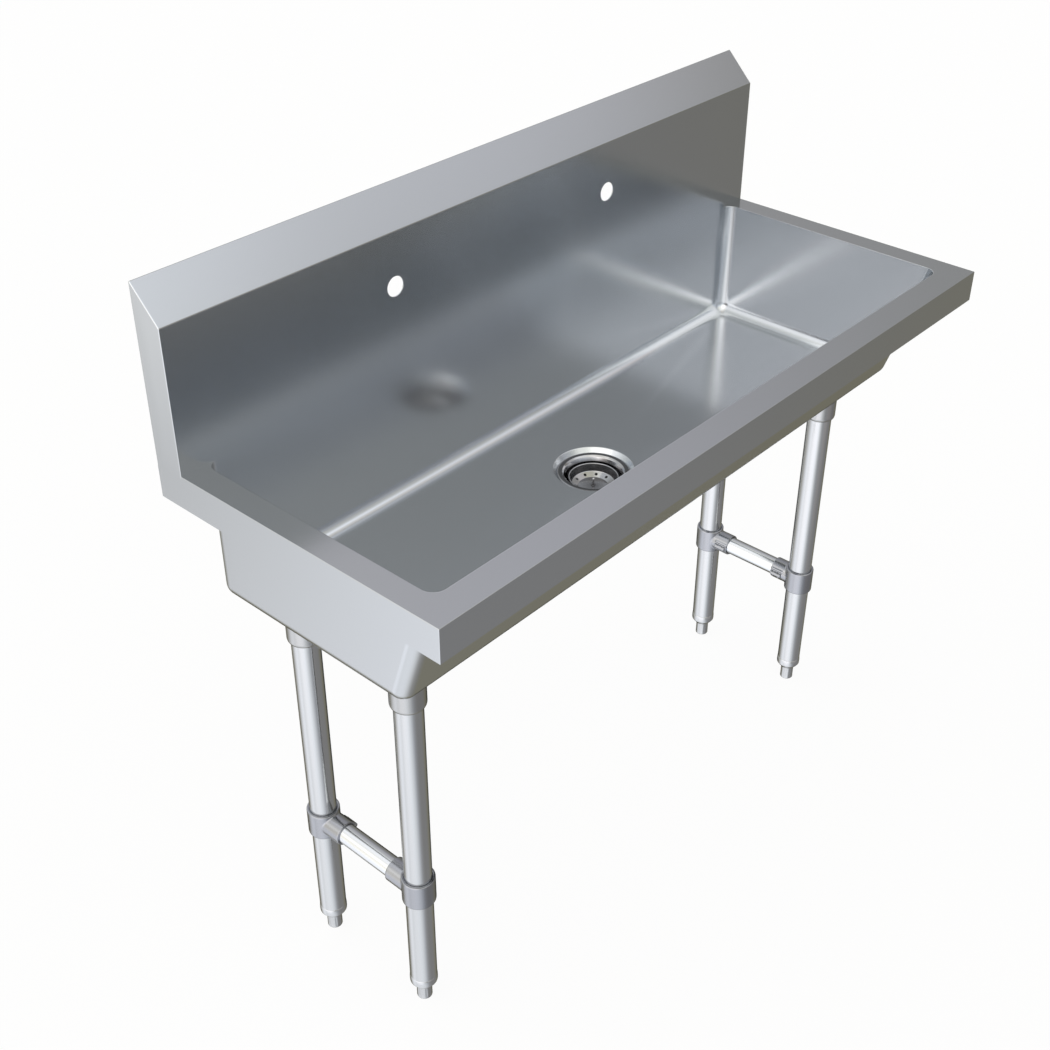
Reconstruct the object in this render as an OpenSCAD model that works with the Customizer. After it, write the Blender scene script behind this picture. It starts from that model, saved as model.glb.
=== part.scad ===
// Trough sink on four tubular legs. A coved sheet bowl hangs under a deck with a
// turned-down apron, and a box backsplash with two faucet holes stands behind it.
// Cast clamps tie the legs front to back with short cross tubes, and each leg ends
// in a screw foot. The drain holds a strainer basket that lifts out.
// Millimetres, +Z up, floor at Z = 0, +X along the trough, +Y towards the wall.

/* [Deck] */
// Length of the deck from end to end
length = 1219; // [1150:1:1500]
// Depth of the deck from the front edge to the wall
depth = 502; // [490:1:560]
// Height of the rim above the floor
rim_height = 876; // [840:1:940]
// Thickness of the sheet
sheet = 1.6; // [1.2:0.1:1.8]
// Outer radius of the bends in the sheet
bend_r = 2.6; // [2.2:0.1:4]
// Width of the rim at each end of the bowl
rim_end = 38; // [32:1:46]
// Width of the rim in front of the bowl
rim_front = 45.4; // [38:0.2:60]
// Height of the apron below the rim
apron_h = 50; // [35:1:70]
// Width of the flange behind the bowl
weld_flange = 10; // [6:1:20]

/* [Backsplash] */
// Height of the backsplash above the rim
splash_h = 254; // [200:1:320]
// Thickness of the backsplash box
splash_t = 48.4; // [42:0.2:56]
// Rise of its sloped top
splash_rise = 47; // [40:1:54]
// Height of the return flange at the wall
return_h = 16; // [10:1:30]
// Spacing of the faucet holes
faucet_pitch = 457.2; // [300:0.2:560]
// Diameter of a faucet hole
faucet_d = 30; // [22:0.5:36]
// Height of the faucet holes above the rim
faucet_z = 127; // [90:1:140]

/* [Bowl] */
// Depth of the bowl inside
bowl_depth = 203; // [170:1:230]
// Radius of the coved corners inside
cove_r = 19; // [15:0.5:24]
// Lean of the front wall from upright, in degrees
front_lean = 17.9161; // [13:0.0001:20]
// Diameter of the stamped recess round the drain
recess_d = 124.5; // [120:0.5:132]
// Depth of the recess
recess_h = 7.6; // [5:0.2:9]
// How far the side of the recess runs in
recess_run = 6; // [4:0.5:8]

/* [Drain] */
// Diameter of the drain flange
flange_d = 111.4; // [106:0.2:111.6]
// Thickness of the flange
flange_t = 2.2; // [1.6:0.1:3]
// Mouth of the throat in the flange
throat_d = 92; // [90:0.5:94]
// Bore of the cup under the throat
cup_d = 85.6; // [84:0.2:88]
// Height of the throat
throat_h = 7.4; // [5:0.2:9]
// Wall of the cup
cup_wall = 2.2; // [1.8:0.1:2.6]
// Depth of the cup below the flange
cup_h = 39; // [37:0.5:50]
// Outside diameter of the threaded outlet
outlet_d = 47.8; // [44:0.2:50]
// Bore of the outlet
outlet_bore = 39; // [34:0.5:40]
// Length of the outlet below the cup
outlet_len = 24; // [16:1:40]

/* [Strainer basket] */
// Diameter of the basket rim
basket_d = 77.8; // [74:0.2:80]
// Height of the basket wall
basket_h = 12; // [10:0.5:13]
// Diameter of the basket floor
basket_floor_d = 66.4; // [62:0.2:70]
// Diameter of the flat middle
basket_flat_d = 46; // [40:0.5:48]
// Number of holes in the floor
basket_holes = 10; // [6:1:12]
// Diameter of each hole
basket_hole_d = 4.6; // [3:0.2:5]

/* [Legs] */
// Outside diameter of a leg
leg_od = 41.3; // [38:0.1:42]
// Wall of the leg tube
leg_wall = 1.6; // [1.2:0.1:2]
// Distance of the legs from the ends of the deck
leg_inset = 112.8; // [108:0.2:140]
// Distance of the front legs from the front edge
leg_front = 180.6; // [176:0.2:190]
// Distance from front to rear leg
leg_pitch = 203.2; // [190:0.2:208]
// Outside diameter of a leg socket
socket_od = 51; // [47:0.5:56]
// Length of a socket below its plate
socket_len = 83; // [70:1:95]
// Side of the square plate above a socket
plate_w = 84; // [76:1:92]
// Thickness of the plate
plate_t = 3; // [2:0.5:4]

/* [Cross tubes and clamps] */
// Outside diameter of a cross tube
bar_od = 31.8; // [28:0.1:32]
// Height of the cross tubes above the floor
bar_z = 238; // [200:1:320]
// Outside diameter of a clamp collar
collar_od = 50.2; // [47:0.2:54]
// Height of a clamp collar
collar_h = 45; // [42:0.5:50]
// Outside diameter of a clamp arm
arm_od = 38.6; // [37:0.2:41]
// Reach of the arm from the middle of the leg
arm_reach = 50.8; // [46:0.2:60]
// Angle of the slot above level
slot_angle = 15; // [5:1:25]

/* [Feet] */
// Height where the leg tube ends
foot_top = 51; // [46:1:60]
// Widest diameter of the foot body
foot_body_d = 43; // [42.2:0.1:45]
// Height of the foot body under the tube
foot_body_h = 23; // [20:0.5:26]
// Diameter of the screw foot
foot_d = 23; // [20:0.2:24]
// Length of thread inside the foot body
foot_thread = 34; // [26:1:40]

/* [Hidden] */
$fn = 64;
eps = 0.01;
fit_gap = 0.05;     // between pieces that are pushed or clamped together
body_gap = 0.3;     // between pieces that move apart

x_end = length / 2;
y_front = -depth / 2;
y_wall = depth / 2;
z_rim = rim_height;
z_apron = z_rim - apron_h;

z_top = z_rim + splash_h;
z_bend = z_top - splash_rise;

// inside faces of the bowl
bowl_x = x_end - rim_end;
bowl_back = y_wall - splash_t;
bowl_front = y_front + rim_front;
z_floor = z_rim - bowl_depth;
foot_front = bowl_front + bowl_depth * tan(front_lean);

// middles of the cove radii
cove_x = bowl_x - cove_r;
cove_back = bowl_back - cove_r;
cove_front = hundredth(foot_front - cove_r * tan(front_lean) + cove_r / cos(front_lean));
cove_z = z_floor + cove_r;
cove_out = cove_r + sheet;

wall_run = (bowl_depth - cove_r) / cos(front_lean) + cove_out;

drain_y = hundredth((cove_front + cove_back) / 2);

// levels of the drain, from the top down
z_seat = z_floor - recess_h;
z_flange = z_seat + flange_t + fit_gap;
seat_hole_d = throat_d + 2 * cup_wall + 0.8;
z_under = z_seat - sheet;
neck_r = cup_d / 2 + cup_wall;
gasket_t = 3;
ring_t = 1.2;
nut_t = 9;
z_gasket = z_under - gasket_t;
z_ring = z_gasket - ring_t;
z_nut = z_ring - nut_t;
z_cup = z_flange - cup_h;
cup_floor_t = 2.4;
stop_r = 26;
z_basket = z_flange - 8.7;
basket_t = 1;
hole_turn = 30.5;   // where the ring of basket holes starts
z_basket_floor = z_basket - basket_h - 4.4;
pin_r = 2;
stopper_t = 7;
z_stopper = z_cup + cup_floor_t + body_gap;

// legs
leg_x = x_end - leg_inset;
leg_y_front = y_front + leg_front;
leg_y_rear = leg_y_front + leg_pitch;
z_plate = z_floor - sheet - plate_t;
z_socket = z_plate - socket_len;
socket_top_t = 3;
leg_top = z_plate - socket_top_t - 2;
shoulder_r = 9;
bar_half = leg_pitch / 2 - leg_od / 2 - 6;
arm_bore_r = bar_od / 2 + fit_gap;
collar_bore_r = leg_od / 2 + fit_gap;
slot_w = 1.6;
lug_len = 22;
foot_bore_r = 9.5;
foot_core_r = foot_bore_r - body_gap;

// Rounds a place to hundredths, so that neighbouring solids meet without a sliver.
function hundredth(v) = round(v * 100) / 100;

// Flat pattern helpers

// Sector of a ring between two radii, from angle a0 to a1 of at most 90 degrees.
module ring_sector(r_in, r_out, a0, a1) {
    far = 2 * r_out;
    intersection() {
        difference() {
            circle(r = r_out);
            circle(r = r_in);
        }
        polygon([
            [0, 0],
            [far * cos(a0), far * sin(a0)],
            [far * cos((a0 + a1) / 2), far * sin((a0 + a1) / 2)],
            [far * cos(a1), far * sin(a1)]
        ]);
    }
}

// Rectangle with the two corners at its +Y side rounded.
module top_rounded(w, y0, y1, r) {
    translate([-w / 2, y0]) square([w, y1 - y0 - r]);
    translate([-w / 2 + r, y0]) square([w - 2 * r, y1 - y0]);
    translate([-w / 2 + r, y1 - r]) circle(r = r);
    translate([w / 2 - r, y1 - r]) circle(r = r);
}

// Extrudes a Y-Z outline along X between x0 and x1.
module along_x(x0, x1) {
    translate([x0, 0, 0])
        rotate([90, 0, 90]) linear_extrude(height = x1 - x0) children();
}

// Extrudes an X-Z outline along Y between y0 and y1.
module along_y(y0, y1) {
    translate([0, y1, 0])
        rotate([90, 0, 0]) linear_extrude(height = y1 - y0) children();
}

// Bowl. All its walls bend round three lines: the front, back and end cove middles.

// Y-Z frame of the front wall: its origin is the middle of the front cove.
module in_lean() {
    translate([0, cove_front, cove_z]) rotate([front_lean, 0, 0]) children();
}

// Y-Z sector of the front bend, from straight down to square with the front wall.
module front_sector() {
    far = 100;
    translate([cove_front, cove_z]) polygon([
        [0, 0],
        [0, -far],
        [-far, -far],
        [-far * cos(front_lean), -far * sin(front_lean)]
    ]);
}

// Y-Z outline of the bowl sheet between the two end coves.
module bowl_profile() {
    // back wall
    translate([bowl_back, cove_z]) square([sheet, z_rim - cove_z]);
    translate([cove_back, cove_z]) ring_sector(cove_r, cove_out, -90, 0);
    // floor
    translate([cove_front, z_floor - sheet]) square([cove_back - cove_front, sheet]);
    // front bend
    intersection() {
        translate([cove_front, cove_z]) difference() {
            circle(r = cove_out);
            circle(r = cove_r);
        }
        front_sector();
    }
    // leaning front wall, trimmed at the rim
    difference() {
        translate([cove_front, cove_z]) rotate(front_lean)
            translate([-cove_out, 0]) square([sheet, wall_run]);
        translate([y_front, z_rim]) square([depth, 2 * cove_out]);
    }
}

// Ball shell of the coves.
module cove_ball() {
    difference() {
        sphere(r = cove_out);
        sphere(r = cove_r);
    }
}

// One end of the bowl, at +X.
module bowl_end() {
    // flat of the end wall, behind the leaning corner
    difference() {
        translate([bowl_x, y_front, cove_z])
            cube([sheet, cove_back - y_front, z_rim - cove_z]);
        in_lean() translate([bowl_x - cove_r, -depth, -depth])
            cube([2 * cove_out, depth, 2 * depth]);
    }
    // cove along the floor
    translate([cove_x, 0, cove_z])
        along_y(cove_front, cove_back) ring_sector(cove_r, cove_out, -90, 0);
    // cove up the back corner
    translate([cove_x, cove_back, cove_z])
        linear_extrude(height = z_rim - cove_z) ring_sector(cove_r, cove_out, 0, 90);
    // cove up the leaning front corner, trimmed at the rim
    difference() {
        in_lean() translate([cove_x, 0, 0])
            linear_extrude(height = wall_run) ring_sector(cove_r, cove_out, -90, 0);
        translate([cove_x - cove_r, y_front, z_rim])
            cube([2 * cove_out, depth, 2 * cove_out]);
    }
    // back corner of the floor
    intersection() {
        translate([cove_x, cove_back, cove_z]) cove_ball();
        translate([cove_x, cove_back, cove_z - 2 * cove_out])
            cube([2 * cove_out, 2 * cove_out, 2 * cove_out]);
    }
    // front corner of the floor
    intersection() {
        translate([cove_x, cove_front, cove_z]) cove_ball();
        along_x(cove_x, cove_x + 2 * cove_out) front_sector();
    }
}

// Stamped recess round the drain, with the hole for the drain body.
module drain_recess() {
    slope = atan(recess_h / recess_run);
    shift = sheet * tan(slope / 2);
    r_top = recess_d / 2;
    r_low = r_top - recess_run;
    translate([0, drain_y, z_floor]) rotate_extrude() polygon([
        [r_top + 6, 0],
        [r_top, 0],
        [r_low, -recess_h],
        [seat_hole_d / 2, -recess_h],
        [seat_hole_d / 2, -recess_h - sheet],
        [r_low + shift, -recess_h - sheet],
        [r_top + shift, -sheet],
        [r_top + 6, -sheet]
    ]);
}

module bowl() {
    color("#c9ccd0") union() {
        difference() {
            along_x(-cove_x, cove_x) bowl_profile();
            translate([0, drain_y, z_floor - 2 * sheet])
                cylinder(r = recess_d / 2 + 6, h = 4 * sheet);
        }
        bowl_end();
        mirror([1, 0, 0]) bowl_end();
        drain_recess();
    }
}

// Deck and apron

// Block with rounded ends, front and front corners, shrunk by d all round.
module deck_block(d) {
    r = bend_r - d;
    high = z_rim - d;
    z_low = z_apron - (d > 0 ? 1 : 0);
    back = depth + (d > 0 ? 1 : 0) - d;
    intersection() {
        along_y(y_front + d, y_front + d + back)
            top_rounded(length - 2 * d, z_low, high, r);
        along_x(-x_end, x_end) union() {
            translate([y_front + d, z_low]) square([back, high - z_low - r]);
            translate([y_front + d + r, z_low]) square([back - r, high - z_low]);
            translate([y_front + d + r, high - r]) circle(r = r);
        }
        translate([0, 0, z_low]) linear_extrude(height = apron_h + 2)
            mirror([0, 1, 0])
            top_rounded(length - 2 * d, -y_front - d - back, -y_front - d, r);
    }
}

// Room for the bowl in the deck: its outside near the rim, as one solid.
module bowl_room() {
    low = z_rim - 2 * sheet;
    tall = 4 * sheet;
    reach = wall_run;
    back = cove_back + cove_out;
    side = cove_x + cove_out;
    intersection() {
        in_lean() translate([-cove_x, -cove_out, 0]) cube([2 * cove_x, depth, reach]);
        translate([-side, y_front, low]) cube([2 * side, back - y_front, tall]);
    }
    intersection() {
        in_lean() translate([-side, 0, 0]) cube([2 * side, depth, reach]);
        translate([-side, y_front, low]) cube([2 * side, cove_back - y_front, tall]);
    }
    for (end = [-1, 1]) {
        intersection() {
            in_lean() translate([end * cove_x, 0, 0]) cylinder(r = cove_out, h = reach);
            translate([-x_end, y_front, low]) cube([length, depth, tall]);
        }
        translate([end * cove_x, cove_back, low]) cylinder(r = cove_out, h = tall);
    }
}

module deck() {
    color("#c9ccd0") difference() {
        deck_block(0);
        deck_block(sheet);
        bowl_room();
        // open behind the weld flange, between the end strips
        translate([-bowl_x - sheet, bowl_back + sheet + weld_flange, z_rim - 10])
            cube([2 * (bowl_x + sheet), splash_t, 20]);
        // square seats for the end caps of the backsplash
        for (side = [-1, 1]) {
            translate([side * (x_end - bend_r / 2 + 1) - bend_r / 2 - 1,
                       bowl_back, z_rim - bend_r])
                cube([bend_r + 2, splash_t + 1, bend_r + 1]);
        }
    }
}

// Backsplash

module backsplash() {
    slope = atan(splash_rise / splash_t);
    thick = sheet / cos(slope);
    drop = sheet * (1 - sin(slope)) / cos(slope);
    color("#c9ccd0") difference() {
        // face, slope and return flange as one bent strip
        along_x(-x_end + sheet, x_end - sheet) polygon([
            [bowl_back, z_rim],
            [bowl_back, z_bend],
            [y_wall, z_top],
            [y_wall, z_top - return_h],
            [y_wall - sheet, z_top - return_h],
            [y_wall - sheet, z_top - sheet * tan(slope) - thick],
            [bowl_back + sheet, z_bend - drop],
            [bowl_back + sheet, z_rim]
        ]);
        for (side = [-1, 1]) {
            translate([side * faucet_pitch / 2, bowl_back - 5, z_rim + faucet_z])
                rotate([-90, 0, 0]) cylinder(d = faucet_d, h = 20);
        }
    }
}

// End cap with its foot in the seat of the deck, at +X.
module end_cap() {
    along_x(x_end - sheet, x_end) polygon([
        [bowl_back, z_rim - bend_r],
        [bowl_back, z_bend],
        [y_wall, z_top],
        [y_wall, z_rim - bend_r]
    ]);
    along_x(x_end - bend_r, x_end - sheet) polygon([
        [bowl_back, z_rim - bend_r],
        [bowl_back, z_rim],
        [y_wall, z_rim],
        [y_wall, z_rim - bend_r]
    ]);
}

module end_cap_left() {
    color("#c9ccd0") mirror([1, 0, 0]) end_cap();
}

module end_cap_right() {
    color("#c9ccd0") end_cap();
}

// Drain

module drain_body() {
    r_throat = throat_d / 2;
    r_cup = cup_d / 2;
    color("#b9bcc0") translate([0, drain_y, 0]) rotate_extrude() polygon([
        [flange_d / 2, z_flange - flange_t],
        [flange_d / 2 - 0.6, z_flange],
        [r_throat, z_flange],
        [r_cup, z_flange - throat_h],
        [r_cup, z_cup + 6],
        [r_cup - 5, z_cup + cup_floor_t],
        [outlet_bore / 2, z_cup + cup_floor_t],
        [outlet_bore / 2, z_cup - outlet_len],
        [outlet_d / 2, z_cup - outlet_len],
        [outlet_d / 2, z_cup],
        [neck_r - 5, z_cup],
        [neck_r, z_cup + 5],
        [neck_r, z_gasket],
        [r_throat + cup_wall, z_flange - flange_t - 0.6],
        [r_throat + cup_wall, z_flange - flange_t]
    ]);
}

module drain_gasket() {
    color("#26282a") translate([0, drain_y, z_gasket]) difference() {
        cylinder(r = neck_r + 15, h = gasket_t);
        translate([0, 0, -1]) cylinder(r = throat_d / 2 + cup_wall + 0.4, h = gasket_t + 2);
    }
}

module drain_friction_ring() {
    color("#8a7a5e") translate([0, drain_y, z_ring]) difference() {
        cylinder(r = neck_r + 14, h = ring_t);
        translate([0, 0, -1]) cylinder(r = throat_d / 2 + cup_wall + 0.4, h = ring_t + 2);
    }
}

// Large locknut with eight wrench lugs on its rim.
module drain_locknut() {
    color("#a9a49a") translate([0, drain_y, z_nut]) difference() {
        union() {
            cylinder(r = neck_r + 9, h = nut_t);
            translate([0, 0, nut_t - 2]) cylinder(r = neck_r + 13, h = 2);
            for (k = [0:7]) {
                rotate([0, 0, 45 * k]) translate([neck_r + 8, -4, 0]) cube([5, 8, nut_t - 1]);
            }
        }
        translate([0, 0, -1]) cylinder(r = neck_r + fit_gap, h = nut_t + 2);
    }
}

// Strainer basket

module strainer_basket() {
    r_rim = basket_d / 2;
    r_floor = basket_floor_d / 2;
    r_flat = basket_flat_d / 2;
    r_hole = (r_floor + r_flat) / 2;
    t = basket_t;
    color("#c4c7cb") translate([0, drain_y, 0]) difference() {
        rotate_extrude() polygon([
            [0, z_basket_floor],
            [r_flat, z_basket_floor],
            [r_floor, z_basket - basket_h],
            [r_rim - 1.6, z_basket],
            [r_rim, z_basket],
            [r_rim, z_basket - t],
            [r_rim - 0.9, z_basket - t],
            [r_floor + 0.7, z_basket - basket_h - t],
            [r_flat, z_basket_floor - t],
            [0, z_basket_floor - t]
        ]);
        for (k = [0:basket_holes - 1]) {
            rotate([0, 0, 360 / basket_holes * k + hole_turn])
                translate([r_hole, 0, z_basket_floor - 8])
                cylinder(d = basket_hole_d, h = 20);
        }
        translate([0, 0, z_basket_floor - 4]) cylinder(r = pin_r + fit_gap, h = 8);
    }
}

// Post with a small knob, through the basket floor into the stopper.
module strainer_post() {
    z_low = z_stopper + 2;
    color("#d6d8da") translate([0, drain_y, 0]) union() {
        translate([0, 0, z_low]) cylinder(r = pin_r, h = z_basket_floor + 11.5 - z_low);
        translate([0, 0, z_basket_floor + 11.5]) sphere(r = 3);
        translate([0, 0, z_basket_floor]) cylinder(r = 4.2, h = 1);
    }
}

module strainer_stopper() {
    top = z_basket_floor - basket_t;
    color("#2b2d2f") translate([0, drain_y, 0]) difference() {
        rotate_extrude() polygon([
            [0, z_stopper],
            [stop_r - 2, z_stopper],
            [stop_r, z_stopper + 1.5],
            [stop_r, z_stopper + stopper_t - 2],
            [stop_r - 3, z_stopper + stopper_t],
            [8, z_stopper + stopper_t],
            [7, top],
            [0, top]
        ]);
        translate([0, 0, z_stopper + 2]) cylinder(r = pin_r + fit_gap, h = stopper_t + 30);
    }
}

// Places a child at one of the four legs: side -1 left, 1 right, row 0 front, 1 rear.
module at_leg(side, row) {
    translate([side * leg_x, row == 0 ? leg_y_front : leg_y_rear, 0]) children();
}

module plate() {
    color("#b4b7bb") translate([-plate_w / 2, -plate_w / 2, z_plate])
        cube([plate_w, plate_w, plate_t]);
}

// Socket under a plate, closed at the top, with a rounded lower shoulder.
module socket(turn) {
    r = socket_od / 2;
    r_leg = leg_od / 2 + fit_gap;
    drop = sqrt(shoulder_r * shoulder_r - pow(shoulder_r - (r - r_leg - 0.4), 2));
    z_round = z_socket + drop;
    color("#d0d3d6") difference() {
        union() {
            translate([0, 0, z_round]) cylinder(r = r, h = z_plate - z_round);
            intersection() {
                rotate_extrude() union() {
                    translate([r - shoulder_r, z_round]) circle(r = shoulder_r);
                    translate([0, z_round - shoulder_r])
                        square([r - shoulder_r, 2 * shoulder_r]);
                }
                translate([0, 0, z_socket]) cylinder(r = r + 1, h = drop + 1);
            }
        }
        translate([0, 0, z_socket - 1])
            cylinder(r = r_leg, h = z_plate - socket_top_t - z_socket + 1);
        translate([0, 0, (z_plate + z_socket) / 2]) rotate([-90, 0, turn])
            cylinder(r = 4, h = r + 5);
    }
}

module socket_screw() {
    r = socket_od / 2;
    translate([0, 0, (z_plate + z_socket) / 2]) rotate([-90, 0, 0]) difference() {
        translate([0, 0, leg_od / 2 + fit_gap]) cylinder(r = 4 - fit_gap, h = r - leg_od / 2 - 0.4);
        translate([0, 0, r - 2.6]) cylinder(r = 2.1, h = 5, $fn = 6);
    }
}

module socket_screws() {
    color("#8d9094") {
        for (side = [-1, 1]) {
            for (row = [0, 1]) {
                at_leg(side, row) socket_screw();
            }
        }
    }
}

module leg() {
    color("#d3d6d9") translate([0, 0, foot_top]) difference() {
        cylinder(d = leg_od, h = leg_top - foot_top);
        translate([0, 0, -1]) cylinder(d = leg_od - 2 * leg_wall, h = leg_top - foot_top + 2);
    }
}

// Clamp with its arm towards +Y and its slot and lug towards +X.
module clamp() {
    chamfer = 0.8;
    r = collar_od / 2;
    r_arm = arm_od / 2;
    arm_from = r - 7;
    color("#9a9da1") translate([0, 0, bar_z]) difference() {
        union() {
            rotate_extrude() polygon([
                [0, -collar_h / 2],
                [r - chamfer, -collar_h / 2],
                [r, -collar_h / 2 + chamfer],
                [r, collar_h / 2 - chamfer],
                [r - chamfer, collar_h / 2],
                [0, collar_h / 2]
            ]);
            rotate([-90, 0, 0]) cylinder(r = r_arm, h = arm_reach);
            // rounded lug under the slot and a low bead over it
            rotate([0, -slot_angle, 0]) {
                translate([r_arm - 0.4, arm_reach - lug_len - 2, -5.4])
                    rotate([-90, 0, 0]) cylinder(r = 4.2, h = lug_len);
                translate([r_arm - 1.1, arm_reach - lug_len - 2, 3])
                    rotate([-90, 0, 0]) cylinder(r = 2.2, h = lug_len);
            }
        }
        translate([0, 0, -collar_h]) cylinder(r = collar_bore_r, h = 2 * collar_h);
        translate([0, leg_od / 2 + 3.6, 0]) rotate([-90, 0, 0])
            cylinder(r = arm_bore_r, h = arm_reach);
        rotate([0, -slot_angle, 0])
            translate([arm_bore_r - 4, arm_from, -slot_w / 2])
            cube([20, arm_reach, slot_w]);
        // pockets for the two lug screws
        for (y = [arm_reach - lug_len + 3, arm_reach - 7]) {
            rotate([0, -slot_angle, 0]) translate([r_arm + 0.6, y, -12])
                cylinder(r = 1.5, h = 10.5);
        }
    }
}

module clamp_screw_pair() {
    r_arm = arm_od / 2;
    translate([0, 0, bar_z]) rotate([0, -slot_angle, 0]) {
        for (y = [arm_reach - lug_len + 3, arm_reach - 7]) {
            translate([r_arm + 0.6, y, -11.2]) difference() {
                cylinder(r = 1.5 - fit_gap, h = 9.4);
                translate([0, 0, -1]) cylinder(r = 0.8, h = 2, $fn = 6);
            }
        }
    }
}

// Turns a clamp child to its leg: arms face each other, lugs face the middle.
module at_clamp(side, row) {
    at_leg(side, row) mirror([side == 1 ? 1 : 0, 0, 0])
        mirror([0, row == 1 ? 1 : 0, 0]) children();
}

module clamp_screws() {
    color("#7c7f83") {
        for (side = [-1, 1]) {
            for (row = [0, 1]) {
                at_clamp(side, row) clamp_screw_pair();
            }
        }
    }
}

module cross_tube(side) {
    color("#dadddf") translate([side * leg_x, leg_y_front + leg_pitch / 2, bar_z])
        rotate([90, 0, 0]) difference() {
        cylinder(d = bar_od, h = 2 * bar_half, center = true);
        cylinder(d = bar_od - 2 * leg_wall, h = 2 * bar_half + 2, center = true);
    }
}

// Foot body pressed into the tube: shank, swelled collar and tapered nose.
module foot_body() {
    r = foot_body_d / 2;
    r_in = leg_od / 2 - leg_wall - fit_gap;
    z_low = foot_top - foot_body_h;
    color("#c8cbce") difference() {
        union() {
            translate([0, 0, foot_top - eps]) cylinder(r = r_in, h = 24);
            rotate_extrude() polygon([
                [0, foot_top],
                [leg_od / 2 - 0.2, foot_top],
                [r - 0.3, foot_top - 3],
                [r, foot_top - 6],
                [r, foot_top - 12],
                [r - 0.8, foot_top - 14.5],
                [r - 2.6, foot_top - 17],
                [14.6, z_low + 1],
                [13.9, z_low],
                [0, z_low]
            ]);
        }
        translate([0, 0, z_low - 1]) cylinder(r = foot_bore_r, h = foot_body_h + 50);
    }
}

// Screw foot: plain threaded shank and a fluted foot with a rounded rim.
module foot() {
    r = foot_d / 2;
    z_low = foot_top - foot_body_h;
    top = z_low - body_gap;
    color("#bfc2c5") union() {
        translate([0, 0, top - 1]) cylinder(r = foot_core_r, h = foot_thread + 1);
        difference() {
            rotate_extrude() polygon([
                [0, 0],
                [r - 1.4, 0],
                [r, 1.4],
                [r, top - 1],
                [r - 1, top],
                [0, top]
            ]);
            for (k = [0:11]) {
                rotate([0, 0, 30 * k]) translate([r + 0.7, 0, 4])
                    cylinder(r = 1.4, h = top - 8, $fn = 24);
            }
        }
    }
}

module plate_front_left() { at_leg(-1, 0) plate(); }
module plate_rear_left() { at_leg(-1, 1) plate(); }
module plate_front_right() { at_leg(1, 0) plate(); }
module plate_rear_right() { at_leg(1, 1) plate(); }

module socket_front_left() { at_leg(-1, 0) socket(0); }
module socket_rear_left() { at_leg(-1, 1) socket(0); }
module socket_front_right() { at_leg(1, 0) socket(0); }
module socket_rear_right() { at_leg(1, 1) socket(0); }

module leg_front_left() { at_leg(-1, 0) leg(); }
module leg_rear_left() { at_leg(-1, 1) leg(); }
module leg_front_right() { at_leg(1, 0) leg(); }
module leg_rear_right() { at_leg(1, 1) leg(); }

module clamp_front_left() { at_clamp(-1, 0) clamp(); }
module clamp_rear_left() { at_clamp(-1, 1) clamp(); }
module clamp_front_right() { at_clamp(1, 0) clamp(); }
module clamp_rear_right() { at_clamp(1, 1) clamp(); }

module cross_tube_left() { cross_tube(-1); }
module cross_tube_right() { cross_tube(1); }

module foot_body_front_left() { at_leg(-1, 0) foot_body(); }
module foot_body_rear_left() { at_leg(-1, 1) foot_body(); }
module foot_body_front_right() { at_leg(1, 0) foot_body(); }
module foot_body_rear_right() { at_leg(1, 1) foot_body(); }

module foot_front_left() { at_leg(-1, 0) foot(); }
module foot_rear_left() { at_leg(-1, 1) foot(); }
module foot_front_right() { at_leg(1, 0) foot(); }
module foot_rear_right() { at_leg(1, 1) foot(); }

bowl();
deck();
backsplash();
end_cap_left();
end_cap_right();
drain_body();
drain_gasket();
drain_friction_ring();
drain_locknut();
strainer_basket();
strainer_post();
strainer_stopper();
plate_front_left();
plate_rear_left();
plate_front_right();
plate_rear_right();
socket_front_left();
socket_rear_left();
socket_front_right();
socket_rear_right();
socket_screws();
leg_front_left();
leg_rear_left();
leg_front_right();
leg_rear_right();
clamp_front_left();
clamp_rear_left();
clamp_front_right();
clamp_rear_right();
clamp_screws();
cross_tube_left();
cross_tube_right();
foot_body_front_left();
foot_body_rear_left();
foot_body_front_right();
foot_body_rear_right();
foot_front_left();
foot_rear_left();
foot_front_right();
foot_rear_right();
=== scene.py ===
"""Trough sink on legs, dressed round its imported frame.

Everything is in metres: X runs along the trough, Y from the front to the wall, Z up. Each
class holds the sizes of one part of the sink and builds its pieces from grids of points. A
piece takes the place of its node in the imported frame; the other nodes get their finish.
"""

from __future__ import annotations

import logging
import math
from dataclasses import dataclass, field
from enum import Enum

import bmesh
import bpy
import numpy as np
from mathutils import Matrix


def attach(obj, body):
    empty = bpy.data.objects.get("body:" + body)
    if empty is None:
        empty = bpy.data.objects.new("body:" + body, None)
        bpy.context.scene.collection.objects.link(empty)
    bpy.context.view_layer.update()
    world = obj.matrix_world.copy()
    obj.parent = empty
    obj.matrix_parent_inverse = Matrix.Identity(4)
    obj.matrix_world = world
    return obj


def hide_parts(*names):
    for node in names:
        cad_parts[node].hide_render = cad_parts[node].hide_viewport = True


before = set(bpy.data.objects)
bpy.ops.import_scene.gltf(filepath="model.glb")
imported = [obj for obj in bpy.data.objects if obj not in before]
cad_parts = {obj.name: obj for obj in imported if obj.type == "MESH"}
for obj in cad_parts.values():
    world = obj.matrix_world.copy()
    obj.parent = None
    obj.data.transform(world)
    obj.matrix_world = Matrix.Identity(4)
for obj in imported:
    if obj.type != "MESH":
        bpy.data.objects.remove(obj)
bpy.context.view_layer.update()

LOG = logging.getLogger("trough_sink")

Triple = tuple[float, float, float]

# points closer than this are one point
MERGE = 0.000002
# the brushing: noise turns a metre across the grain, and its share along the grain
GRAIN_TURNS = 1800.0
GRAIN_STRETCH = 0.02
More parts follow.
